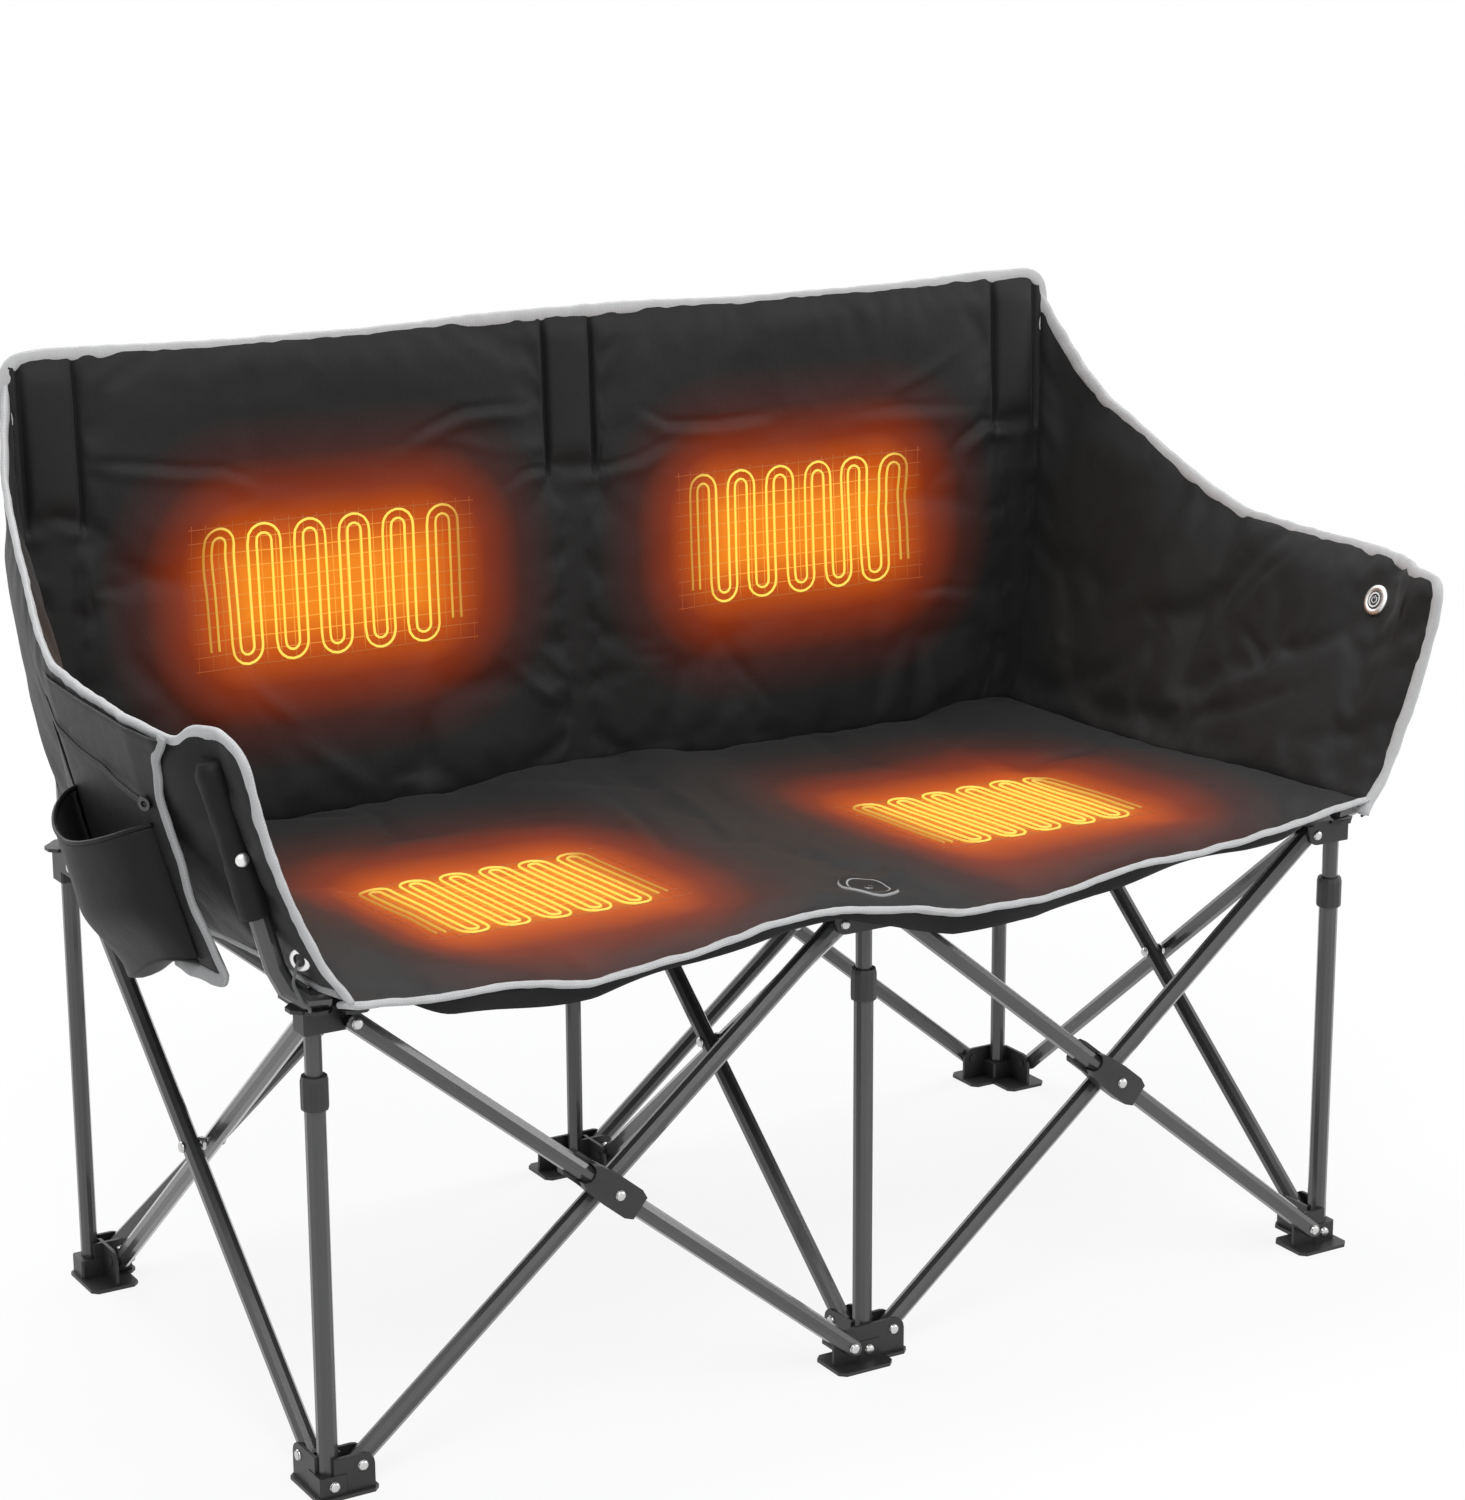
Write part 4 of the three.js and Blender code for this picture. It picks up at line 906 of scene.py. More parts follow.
def seat_place(u, v):
    x = mix(-SEAT_HALF, SEAT_HALF, u)
    y = mix(SEAT_FRONT, SEAT_REAR, v)
    edge = 1 - smooth((y - SEAT_FRONT) / 60)
    wave = edge * (2.6 * math.sin(x / 37.0) + 2.0 * math.sin(x / 21.0 + 1.3))
    y -= edge * 1.6 * math.sin(x / 47.0 + 0.6)
    return x, y, seat_top(x, y) - 6 + 0.5 * wave + 0.6 * crease_height(x, y, SEAT_CREASES)


def thickness(edge_distance):
    """Half thickness of a pad at a distance from its sewn edge."""
    return mix(1.8, 6.0, math.sqrt(smooth(edge_distance / 38.0)))


def from_leg(x):
    """How far across a place lies from the nearest row of legs."""
    return np.minimum(abs(abs(x) - LEG_X), abs(x))


def on_plate(x, y, reach=PLATE_REACH):
    return (from_leg(x) < reach) & (abs(y) > PLATE_FROM)


seat_mid = grid(SEAT_U, SEAT_V, seat_place)
half = np.zeros(seat_mid.shape)
half[:, :, 2] = [[thickness(min(SEAT_HALF - abs(x), y - SEAT_FRONT, (SEAT_REAR - y) * 2 + 6)) for x, y, _ in row]
                 for row in seat_mid]
seat_front_face, seat_rear_face = seat_mid + half, seat_mid - half
# The hubs' plates and the underside's rest stay clear of the cloth
for j in range(SEAT_V + 1):
    for i in range(SEAT_U + 1):
        x, y, z = seat_rear_face[j, i]
        if from_leg(x) < PLATE_REACH and (-324 < y < -230 or y > 230):
            seat_rear_face[j, i, 2] = max(z, HUB_TOP + 0.5)
            seat_front_face[j, i, 2] = max(seat_front_face[j, i, 2], HUB_TOP + 5)
seat = make_pad("seat_whole", seat_front_face, seat_rear_face, (2 * SEAT_HALF, SEAT_REAR - SEAT_FRONT))
sx, sy, _ = seat_mid.reshape(-1, 3).T
held = rim_of(SEAT_U, SEAT_V).ravel()
for px, py in [(0, -292), (0, 0), (0, 130), (-140, -330), (140, -330), (-400, 20), (400, 20), (0, -150),
               (-270, 120), (270, 120)]:
    held |= np.hypot(sx - px, sy - py) < 9
settle(seat, np.concatenate([held, held | on_plate(sx, sy)]), 2.2, 0.016, 0.0075)
refine(seat)
rumple(seat, (0, 0, 1), SEAT_FOLDS,
       lambda x, y, z: soft_step((540 - abs(x)) / 30) * soft_step((y + 326) / 40) * soft_step((262 - y) / 30)
       * (1 - 0.75 * np.exp(-(((abs(x) - 272) / 130) ** 4 + ((y + 112) / 100) ** 4))) * (1 - on_plate(x, y, 48)),
       0.8, 2.0)
seat_tree = tree_of(seat)


def half_of(source, name, keep_front):
    """The part of a closed pad in front of, or behind, the middle of the seat, capped where it is cut."""
    obj = placed(name, source.data.copy())
    cut_y = SHIFT[1] * MM
    bm = bmesh.new()
    bm.from_mesh(obj.data)
    cut = bmesh.ops.bisect_plane(
        bm, geom=bm.verts[:] + bm.edges[:] + bm.faces[:], plane_co=(0, cut_y, 0), plane_no=(0, 1, 0),
        clear_outer=keep_front, clear_inner=not keep_front)
    rim = [e for e in cut["geom_cut"] if isinstance(e, bmesh.types.BMEdge)]
    bmesh.ops.triangle_fill(bm, edges=rim, use_beauty=True, normal=(0, 1, 0))
    bmesh.ops.recalc_face_normals(bm, faces=bm.faces)
    for e in bm.edges:
        if all(abs(v.co.y - cut_y) < 1e-6 for v in e.verts):
            e.smooth = False
    bm.to_mesh(obj.data)
    bm.free()
    return obj


PAD_X = 272.4
# Where the painted glow lies on the seat: each pad's centre and the size of its core
seat_glow_pads = [((s * PAD_X, -112, 448), (88, 50, 900)) for s in (-1, 1)]
front_seat = half_of(seat, "seat_front_cushion", True)
rear_seat = half_of(seat, "seat_rear_cushion", False)
for piece in (front_seat, rear_seat):
    set_painted_glow(piece, seat_glow_pads, 150.0, (0, 0, 1.0), (1, 0.62, 1))
bpy.data.objects.remove(seat)
dress(front_seat, "seat_front", CLOTH, ["seat_front"], "seat")
dress(rear_seat, "seat_rear", CLOTH, ["seat_rear"], "seat")

# Binding and under strip along the seat's front edge
edge = seat_mid[0]
path = np.concatenate([[edge[0] + np.array([-4.0, -1.5, 1.0])], edge, [edge[-1] + np.array([4.0, -1.5, 1.0])]])
front_binding = strip("binding_seat_front", path, [(0.0, 0.93, -0.36)] * len(path), 7.2, 3.4, 3.6,
                      seed=2.0, pucker=1.4)
dress(front_binding, "seat_front", BINDING, joint="seat")


def under_place(u, v):
    x = mix(-500, 500, u)
    hang = 15 + 5.0 * math.sin(x / 83.0 + 0.4) + 2.5 * math.sin(x / 31.0)
    hang *= smooth((506 - abs(x)) / 60)
    edge_y = -337 + 1.6 * math.sin(x / 29.0)
    z = table(FRONT_EDGE_Z, x) - 7
    return x, edge_y + 3.0 * v + 2.0 * math.sin(x / 23.0) * v, z - v * max(4.0, hang)


def thin_sheet(name, nu, nv, place, thick, size):
    """A pad of even thickness round a curved sheet."""
    middle = grid(nu, nv, place)
    n = grid_normals(middle)
    return make_pad(name, middle + n * thick / 2, middle - n * thick / 2, size)


under = thin_sheet("seat_under_strip", 150, 5, under_place, 1.6, (1000, 16))
sew(under, "seat_front", CLOTH_UNDER)

# Back

BACK_U, BACK_V = 176, 60
SLEEVES = (-LEG_X, 0.0, LEG_X)
SLEEVE_BOTTOM = 773.3
BACK_TOP = 934.8
BACK_CREASES = [
    ((-470, 762), (-330, 772), 9, 3.0), ((-330, 768), (-60, 806), 10, 2.6), ((-100, 806), (-20, 800), 8, 2.2),
    ((40, 775), (270, 812), 10, 2.8), ((270, 815), (520, 800), 10, 2.4), ((-520, 740), (-420, 560), 16, 2.6),
    ((30, 768), (120, 690), 12, 2.6), ((-30, 768), (-130, 690), 12, 2.4), ((520, 770), (430, 650), 14, 2.6),
    ((-560, 500), (-430, 590), 16, 2.4), ((-250, 480), (-180, 590), 18, 2.2), ((0, 470), (20, 640), 20, -3.2),
    ((120, 480), (170, 590), 18, 2.4), ((380, 480), (450, 600), 17, 2.4), ((540, 520), (470, 610), 15, 2.0),
    ((-20, 560), (-120, 620), 14, 2.0), ((300, 590), (200, 560), 12, 1.8), ((-350, 560), (-450, 640), 13, 1.8),
    ((-300, 905), (-120, 880), 16, 1.6), ((330, 900), (180, 880), 16, 1.5),
]


def back_half(z):
    """Half width of the back: up to the arms' inside, with round top corners."""
    y = back_middle(LEG_X, z)
    ex, ez = arm_edge(min(y, 290))
    v = limit((z - arm_bottom(y)) / (ez - arm_bottom(y)))
    return mix(560, ex + 5, v) + 10 * math.sin(math.pi * v)


SEAM_AT = 27.0
share_steps = np.linspace(-1, 1, 2001)
seam_shares = [(s + d) / 592 for s in SLEEVES for d in (-SEAM_AT, SEAM_AT) if abs(s + d) < 592]
crowding = 1 + sum(5 * np.exp(-((share_steps - s) / 0.02) ** 2) for s in seam_shares)
crowding = np.concatenate([[0], np.cumsum((crowding[1:] + crowding[:-1]) / 2)])
crowding /= crowding[-1]


def back_place(u, v):
    x0 = float(np.interp(u, crowding, share_steps))
    u, v = rounded((x0 + 1) / 2, v, 1180, 490, (0, 1), 26)
    x0 = mix(-1, 1, u)
    z_top = BACK_TOP - 5 * valley(x0 * LEG_X)
    bottom = seat_plain(x0 * SEAT_HALF, SEAT_REAR) - 5
    z = mix(bottom, z_top, v)
    x = x0 * back_half(z)
    return x, back_middle(x, z) - 0.5 * crease_height(x, z, BACK_CREASES), z


back_mid = grid(BACK_U, BACK_V, back_place)
front_face, rear_face = back_mid.copy(), back_mid.copy()
back_hold = rim_of(BACK_U, BACK_V)
for j in range(BACK_V + 1):
    for i in range(BACK_U + 1):
        x, y, z = back_mid[j, i]
        t = thickness(min(back_half(z) - abs(x) + 3, BACK_TOP - z, 30 + z - 460))
        forward = backward = t
        d = from_leg(x)
        if z > SLEEVE_BOTTOM - 6:
            seam = math.exp(-((d - SEAM_AT) / 3.0) ** 2) * smooth((BACK_TOP - 6 - z) / 14)
            bottom_seam = 0.6 * math.exp(-((z - SLEEVE_BOTTOM) / 6.0) ** 2) if d < SEAM_AT else 0.0
            round_share = math.sqrt(max(0.0, 1 - (d / SEAM_AT) ** 2))
            inside = smooth((z - SLEEVE_BOTTOM - 2) / 24) * smooth((BACK_TOP - 4 - z) / 22)
            forward = mix(forward, -1.0, max(seam, bottom_seam))
            backward = mix(backward, 4.2, seam)
            if d < SEAM_AT:
                forward += (round_share ** 1.6) * inside * 4.5
                backward = max(backward, (298 - y) * round_share * inside + 2)
                back_hold[j, i] = True
        if d < 13 and z <= SLEEVE_BOTTOM + 2:
            backward = min(backward, 276 - y)
            back_hold[j, i] = True
        front_face[j, i, 1] = y - forward
        rear_face[j, i, 1] = y + max(backward, -forward + 2.2)
        if abs(d - SEAM_AT) < 7 and z > SLEEVE_BOTTOM - 4:
            back_hold[j, i] = True
for px, pz in [(0, 700), (0, 560), (-430, 700), (430, 700), (-150, 560), (150, 560), (-420, 540), (420, 540)]:
    back_hold |= np.hypot(back_mid[:, :, 0] - px, back_mid[:, :, 2] - pz) < 8
back = make_pad("back_cushion", front_face, rear_face, (1180, 480))
settle(back, np.concatenate([back_hold.ravel()] * 2), 2.4, 0.02, 0.0085)
refine(back)
back_points = rumple(
    back, (0, -1, 0), BACK_FOLDS,
    lambda x, y, z: soft_step((585 - abs(x)) / 25) * soft_step((BACK_TOP - 8 - z) / 22) * soft_step((z - 458) / 24)
    * (1 - 0.7 * np.exp(-(((abs(x) - 272) / 150) ** 4 + ((z - 683) / 70) ** 4)))
    * (1 - 0.9 * (from_leg(x) < 30) * soft_step((z - SLEEVE_BOTTOM + 12) / 24)),
    1.1, 9.0)
# Painted shade along the sleeves' seams, stored as the seam mark for the cloth's colour
seam_off, up = np.abs(from_leg(back_points[:, 0]) - SEAM_AT), back_points[:, 2]
store(back, "seam", np.exp(-(seam_off / 2.4) ** 2) * (up > SLEEVE_BOTTOM - 6) * (up < BACK_TOP - 10))
back_tree = tree_of(back)
set_painted_glow(back, [((s * PAD_X, 268, 683), (92, 900, 22)) for s in (-1, 1)], 158.0, (0, -1.0, 0))
dress(back, "back_panel", CLOTH, ["back_panel"], "x")

CORNER = 9
rim = ([(j, 0) for j in range(BACK_V - CORNER, BACK_V)] + [(BACK_V, i) for i in range(BACK_U + 1)]
       + [(j, BACK_U) for j in range(BACK_V - 1, BACK_V - CORNER - 1, -1)])
top = np.array([back_mid[j, i] for j, i in rim])
inward = np.array([unit(back_mid[min(j, BACK_V - 4), min(max(i, 5), BACK_U - 5)] - back_mid[j, i]) for j, i in rim])
top_binding = strip("binding_back_top", top, inward, 7.0, 3.5, 3.4, seed=5.0, pucker=1.0)
dress(top_binding, "back_panel", BINDING, joint="x")

for c, side in zip(SLEEVES, ("left", "middle", "right")):
    ring = []
    for k in range(37):
        angle = 2 * math.pi * k / 36
        across = math.copysign(abs(math.cos(angle)) ** 0.9, math.cos(angle))
        ring.append((c + 15.5 * across, 285.5 + 11.2 * math.sin(angle),
                     SLEEVE_BOTTOM + 2 + 1.2 * math.sin(3 * angle)))
    hem = tube(f"sleeve_hem_{side}", ring, 2.2, 8, 3.0, seed=float(c) / 100)
    dress(hem, "back_panel", CLOTH_PLAIN, joint="x")

# Arms

ARM_U, ARM_V = 66, 26
ARM_LONG, ARM_TALL = 620, 230
ARM_CREASES = [
    ((-250, 0.75), (-60, 0.35), 15, 2.6), ((-60, 0.9), (60, 0.45), 15, 2.4), ((80, 0.95), (120, 0.5), 14, 2.4),
    ((-120, 0.25), (60, 0.12), 12, 2.6), ((160, 0.2), (230, 0.55), 16, 2.6), ((-320, 0.35), (-200, 0.15), 12, 2.0),
    ((60, 0.3), (200, 0.1), 13, 2.2), ((-330, 0.8), (-230, 0.55), 12, 1.8),
]
ARM_RIM_Y = np.linspace(ARM_FRONT, 290, 60)
ARM_RIM_Z = [arm_edge(y)[1] for y in ARM_RIM_Y]


def by_button(y, z, reach):
    """1 at the power button, falling to 0 away from it."""
    return np.exp(-(((y - BUTTON_Y) / reach) ** 2 + ((z - BUTTON_Z) / reach) ** 2))


for sign, side in ((-1, "left"), (1, "right")):
    def arm_place(u, v):
        u, v = rounded(u, v, ARM_LONG, ARM_TALL, (0,), 24)
        y = mix(ARM_FRONT, arm_rear(v) + 9, u)
        x, z = arm_middle(y, v)
        creases = [((a, b * ARM_TALL), (c, d * ARM_TALL), w, h) for (a, b), (c, d), w, h in ARM_CREASES]
        x += 1.3 * (1 - by_button(y, z, 42)) * crease_height(y, v * ARM_TALL, creases)
        over_sleeve = math.exp(-((y + 299) / 24) ** 2) * smooth((z - 520) / 50)
        x -= 7.5 * over_sleeve
        notch = math.exp(-((y + 268 + 134 * (sign > 0)) / 9) ** 2) * smooth((v - 0.7) / 0.3)
        z += (13 if sign < 0 else 3) * smooth((-262 - y) / 22) * smooth((v - 0.4) / 0.6) - 5 * notch
        return sign * x, y, z

    middle = grid(ARM_U, ARM_V, arm_place)
    n = grid_normals(middle)
    if n[ARM_V // 2, ARM_U // 2, 0] * sign > 0:
        n = -n
    t = np.zeros((ARM_V + 1, ARM_U + 1, 1))
    for j in range(ARM_V + 1):
        for i in range(ARM_U + 1):
            y = middle[j, i, 1]
            to_edge = min(y - ARM_FRONT, (1 - j / ARM_V) * ARM_TALL, 24 + j / ARM_V * 200, 24 + (SEAT_REAR - y))
            t[j, i] = thickness(to_edge) - (1.2 * by_button(y, middle[j, i, 2], 26) if sign > 0 else 0.0)
    hold = rim_of(ARM_U, ARM_V)
    for py, pv in [(-120, 0.5), (60, 0.45), (-20, 0.22)]:
        hold |= (abs(middle[:, :, 1] - py) < 7) & (abs(np.linspace(0, 1, ARM_V + 1)[:, None] - pv) < 0.035)
    if sign > 0:
        hold |= np.hypot(middle[:, :, 1] - BUTTON_Y, middle[:, :, 2] - BUTTON_Z) < 26
    hold |= (middle[:, :, 1] < -288) & (middle[:, :, 1] > -312)
    arm = make_pad(f"arm_cushion_{side}", middle + n * t, middle - n * t, (ARM_LONG, ARM_TALL))
    settle(arm, np.concatenate([hold.ravel()] * 2), 2.2, 0.022, 0.0085)
    refine(arm)
    rumple(arm, (-0.93 * sign, 0, 0.37), ARM_FOLDS if sign > 0 else [],
           lambda x, y, z: soft_step((y + 322) / 30) * soft_step((240 - y) / 30) * soft_step((z - 476) / 30)
           * (1 - by_button(y, z, 34)) * 0.9 * soft_step((np.interp(y, ARM_RIM_Y, ARM_RIM_Z) - 10 - z) / 26),
           1.2, 30.0 + sign)
    set_painted_glow(arm, [], 1.0, (0, 0, 1.0))
    dress(arm, f"arm_{side}", CLOTH, [f"arm_{side}"], "y")

    # Silver binding: up the front edge, round the tip and back along the top to the back's corner
    border = [middle[0, 0] + np.array([-sign * 3.0, -1.0, -5.0]), *middle[:ARM_V, 0], *middle[ARM_V]]
    inner = [middle[0, 3] - middle[0, 0], *(middle[:ARM_V, 3] - middle[:ARM_V, 0]),
             *(middle[ARM_V - 3, np.maximum(np.arange(ARM_U + 1), 3)] - middle[ARM_V])]
    binding = strip(f"binding_arm_{side}", border, unit(inner), 7.0, 3.4, 3.6, seed=9.0 + sign, pucker=1.2)
    dress(binding, f"arm_{side}", BINDING, joint="y")

    # Binding along the foot of the arm's outside, painted darker as shade
    low = []
    for y in np.linspace(-338, 250, 60):
        x, z = arm_middle(y, 0.0)
        low.append((sign * (x + mix(3.0, 11.0, smooth((y - ARM_FRONT) / 50))), y, z + 1.5))
    lower = strip(f"binding_foot_{side}", low, [(sign * 0.75, 0.0, 1.0)] * len(low), 6.4, 2.4, 0.0,
                  seed=14.0 + sign, pucker=0.8)
    dress(lower, f"arm_{side}", BINDING_DARK, joint="y")

    # Sleeve round the post, with its snap
    def on_post(rise):
        out = mix(40, 87, (rise - 41) / 175)
        return np.array([sign * (LEG_X + out), FRONT_Y - 14, HUB_TOP + 9.8 + rise])

    sleeve = tube(f"post_sleeve_{side}", [on_post(r) + np.array([sign * 2.0, 0, 0]) for r in np.linspace(82, 219, 28)],
                  lambda s: mix(13.4 + 0.5 * math.sin(9 * s), 10.2, smooth((s - 0.93) / 0.07)), 20, 5.0,
                  seed=3.0 + sign)
    dress(sleeve, f"arm_{side}", CLOTH_PLAIN, joint="y")
    snap_at = on_post(135) + np.array([sign * 3.5, -14.2, 0.0])
    dome = [(0.01, 3.4), (2.8, 3.1), (5.0, 2.1), (6.1, 0.8), (6.3, -0.8), (0.01, -0.8)]
    snap = turned(f"snap_{side}", [(dome, snap_at, (0.0, -1.0, 0.0), "open")])
    dress(snap, f"arm_{side}", BRIGHT, joint="y")

# Rivet heads over the pins of the feet, hubs and crossings

CROSS_Z = (FOOT_Z + HUB_Z) / 2
HEAD = [(0.01, 2.9), (2.0, 2.75), (3.9, 2.1), (5.0, 1.0), (5.4, 0.0), (5.4, -0.25), (0.01, -0.25)]
heads = {}


def head(body, at, axis):
    heads.setdefault(body, []).append((HEAD, np.array(at, float), axis, "open"))


def heads_of(body, x, y, z, along, sign, place, offset_sign=1):
    """Heads on both ends of a pin in a slot, or on the outer end of a pin in a single lug."""
    reach = PIVOT if along == "x" else DEPTH_PIVOT
    centre = np.array([x, y, z]) + (np.array([sign * reach, 0, 0]) if along == "x" else np.array([0, sign * reach, 0]))
    axis = np.array([0.0, 1.0, 0.0]) if along == "x" else np.array([1.0, 0.0, 0.0])
    if place == "slot":
        for s in (-1, 1):
            head(body, centre + s * 12.5 * axis, s * axis)
    else:
        head(body, centre + offset_sign * 31.3 * axis, offset_sign * axis)


for side, x in (("left", -LEG_X), ("middle", 0.0), ("right", LEG_X)):
    for row, y, outward in (("front", FRONT_Y, -1), ("rear", REAR_Y, 1)):
        feet = {"left": [("x", 1, "slot")], "middle": [("x", 1, "slot"), ("x", -1, "outer", outward)],
                "right": [("x", -1, "outer", outward)]}[side]
        hubs = {"left": [("x", 1, "outer", outward)], "middle": [("x", -1, "slot"), ("x", 1, "outer", outward)],
                "right": [("x", -1, "slot")]}[side]
        inward = -outward
        feet = feet + ([("y", inward, "slot")] if row == "front" else [("y", inward, "outer", 1)])
        hubs = hubs + ([("y", inward, "outer", 1)] if row == "front" else [("y", inward, "slot")])
        foot_body, hub_body = node_body(f"foot_{row}_{side}"), node_body(f"hub_{row}_{side}")
        for spec in feet:
            heads_of(foot_body, x, y, FOOT_Z, *spec)
        for spec in hubs:
            heads_of(hub_body, x, y, HUB_Z, *spec)
        head(foot_body, (x, y + outward * 13.4, 12.0), (0.0, outward, 0.0))
    depth_body = node_body(f"rivet_depth_{side}")
    head(depth_body, (x + 31.3, 0, CROSS_Z), (1.0, 0, 0))
    head(depth_body, (x - 9.3, 0, CROSS_Z), (-1.0, 0, 0))
for side, sign in (("left", -1), ("right", 1)):
    x = sign * LEG_X / 2
    mid_body, rear_body = node_body(f"mid_joint_{side}"), node_body(f"bar_rear_outer_{side}")
    head(mid_body, (x, FRONT_Y - BAR_PLANE - 10.7, CROSS_Z), (0, -1.0, 0))
    head(mid_body, (x, FRONT_Y + 9.3, CROSS_Z), (0, 1.0, 0))
    head(rear_body, (x, REAR_Y + BAR_PLANE + 9.0, CROSS_Z), (0, 1.0, 0))
    head(rear_body, (x, REAR_Y - 9.3, CROSS_Z), (0, -1.0, 0))
for body, items in sorted(heads.items()):
    piece = turned(f"rivets_{body}", items, 18)
    paint(piece, STEEL)
    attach(piece, body)

# Heating wires on the seat and back, glowing with painted light

def hit(tree, start, direction):
    """Where a straight line meets a surface."""
    return np.array(tree.ray_cast(Vector(metres(start)), Vector(direction))[0]) / MM - SHIFT


def on_seat(x, y):
    return hit(seat_tree, (x, y, 700.0), (0, 0, -1.0))


def serpentine(offset, width, height, loops=6):
    """A double-line winding: points of one of its two lines, in the pad's own plane."""
    pitch = width / loops
    radius = pitch / 4
    points = []
    straight = height / 2 - radius
    runs = 2 * loops
    for k in range(runs):
        x = -width / 2 + pitch / 4 + k * pitch / 2
        up = k % 2 == 0
        side = offset if up else -offset
        for s in np.arange(0, 1.0001, 5.0 / (2 * straight)):
            z = mix(-straight, straight, s if up else 1 - s)
            points.append((x + side, z))
        if k < runs - 1:
            cx = x + radius
            r = radius - side
            for a in np.linspace(0, math.pi, 9)[1:-1]:
                px = cx - r * math.cos(a)
                pz = (straight + r * math.sin(a)) if up else (-straight - r * math.sin(a))
                points.append((px, pz))
    return points


def join_objects(name, parts):
    bm = bmesh.new()
    for part in parts:
        bm.from_mesh(part.data)
    mesh = bpy.data.meshes.new(name)
    bm.to_mesh(mesh)
    bm.free()
    for part in parts:
        bpy.data.objects.remove(part)
    obj = placed(name, mesh)
    shade_smooth(obj)
    return obj


def heater(place, side, sign):
    """Two wires in a double line and the fine net under them, on one pad of the seat or the back, with a painted glow.
    """
    middle, width, height = (-112.0, 250.0, 178.0) if place == "seat" else (683.0, 288.0, 128.0)

    def lift(a, b, off):
        """A place of the pad, a little off the cloth."""
        if place == "seat":
            return on_seat(sign * PAD_X + a, middle + b) + np.array([0.0, 0.0, off])
        return hit(back_tree, (sign * PAD_X + a, 0.0, middle + b), (0, 1.0, 0)) - np.array([0.0, off, 0.0])

    wires, strands = [], []
    reach, rise = width / 2, height / 2
    for line, offset in enumerate((-4.6, 4.6)):
        points = [lift(a, b, 0.7) for a, b in serpentine(offset, width, height)]
        wires.append(tube(f"wire_{line}", points, 1.25, 6, 3.5, rounds=0))
    for k in range(11):
        b = mix(-rise - 6, rise + 6, k / 10)
        strands.append(tube(f"strand_{k}", [lift(a, b, 0.15) for a in np.linspace(-reach - 10, reach + 10, 60)],
                            0.55, 5, 6.0, rounds=0))
    for k in range(21):
        a = mix(-reach - 6, reach + 6, k / 20)
        strands.append(tube(f"rung_{k}", [lift(a, b, 0.15) for b in np.linspace(-rise - 10, rise + 10, 40)],
                            0.45, 5, 6.0, rounds=0))
    for name, parts, material, fade in ((f"heating_wires_{place}_{side}", wires, WIRE, 0.34),
                                        (f"heating_net_{place}_{side}", strands, GRID, 0.6)):
        obj = join_objects(name, parts)
        co = in_millimetres(obj)
        # Painted glow along the wires and the net: bright over the pad's middle, fading towards its edges
        a = np.abs(co[:, 0] - sign * PAD_X) / reach
        glow_paint = np.clip((1.04 - a) / fade, 0, 1)
        if material is GRID:
            b = np.abs((co[:, 1] if place == "seat" else co[:, 2]) - middle) / rise
            glow_paint = glow_paint * np.clip((1.15 - b) / 0.5, 0.05, 1)
        store(obj, "painted_glow", glow_paint)
        node = f"heating_pad_{place}_{side}"
        nodes = [node] if parts is wires else ()
        dress(obj, node, material, nodes, "seat" if place == "seat" else "x")


for side, sign in (("left", -1), ("right", 1)):
    heater("seat", side, sign)
    heater("back", side, sign)

# Round patch with its grommet at the seat's front

def seen_from_above(points, faces):
    """UVs of a sheet that lies flat."""
    return [(points[k][0] * MM, points[k][1] * MM) for face in faces for k in face]


patch_points = []
RINGS, SPOKES = 18, 40
for k in range(RINGS + 1):
    for m in range(SPOKES):
        angle = 2 * math.pi * m / SPOKES
        r = 27.0 * k / RINGS
        x, y = r * math.cos(angle) * 1.08, PATCH_Y + r * math.sin(angle)
        rise = 0.7 + 0.9 * math.exp(-((r - 25.5) / 1.6) ** 2) + 0.7 * math.exp(-((r - 19) / 1.2) ** 2)
        patch_points.append(on_seat(x, y) + np.array([0, 0, rise if k < RINGS else -0.8]))
patch_faces = ring_faces(RINGS + 1, SPOKES)
patch = new_object("seat_patch", patch_points, patch_faces, True, seen_from_above(patch_points, patch_faces))
thicken(patch, 0.0012)
shade_smooth(patch)
dress(patch, "seat_front", CLOTH_UNDER, joint="seat")
patch.data.materials.append(BINDING_DARK)
for face in patch.data.polygons:
    px, py, _ = np.array(face.center) / MM - SHIFT
    reach = math.hypot(px / 1.08, py - PATCH_Y)
    face.material_index = int(18 < reach < 19.5 or reach > 25.5)

RING = [(5.6, -2.0), (5.8, 1.3), (7.2, 2.1), (9.2, 1.7), (10.4, 0.4), (10.5, -2.4), (5.7, -2.6)]
SMALL = [(2.2, 0.0), (2.5, 1.1), (3.6, 1.5), (4.7, 1.0), (5.2, 0.2), (5.2, -0.4), (2.3, -0.5)]
patch_mid = on_seat(0.0, PATCH_Y) + np.array([0, 0, 0.8])
eye = turned("patch_grommet", [(SMALL, patch_mid, (0, 0, 1.0), "ring")])
dress(eye, "seat_front", steel("dark_ring", 0.12, 0.3), joint="seat")

# Organizer on the left arm

def pouch_x(y, z):
    """How far left the flap lies where it hangs on the arm's outside."""
    top_z = HUB_TOP + 236
    ex, ez = arm_edge(y)
    v = (top_z - arm_bottom(y)) / (ez - arm_bottom(y))
    return -(arm_middle(y, v)[0] + 7.9 - 0.22 * (top_z - z))


FLAP_FRONT = [
    (472, -254), (477, -262), (484, -266), (512, -258), (543, -248.3), (581, -247), (610, -243), (639, -240),
    (674, -251), (690, -266),
]


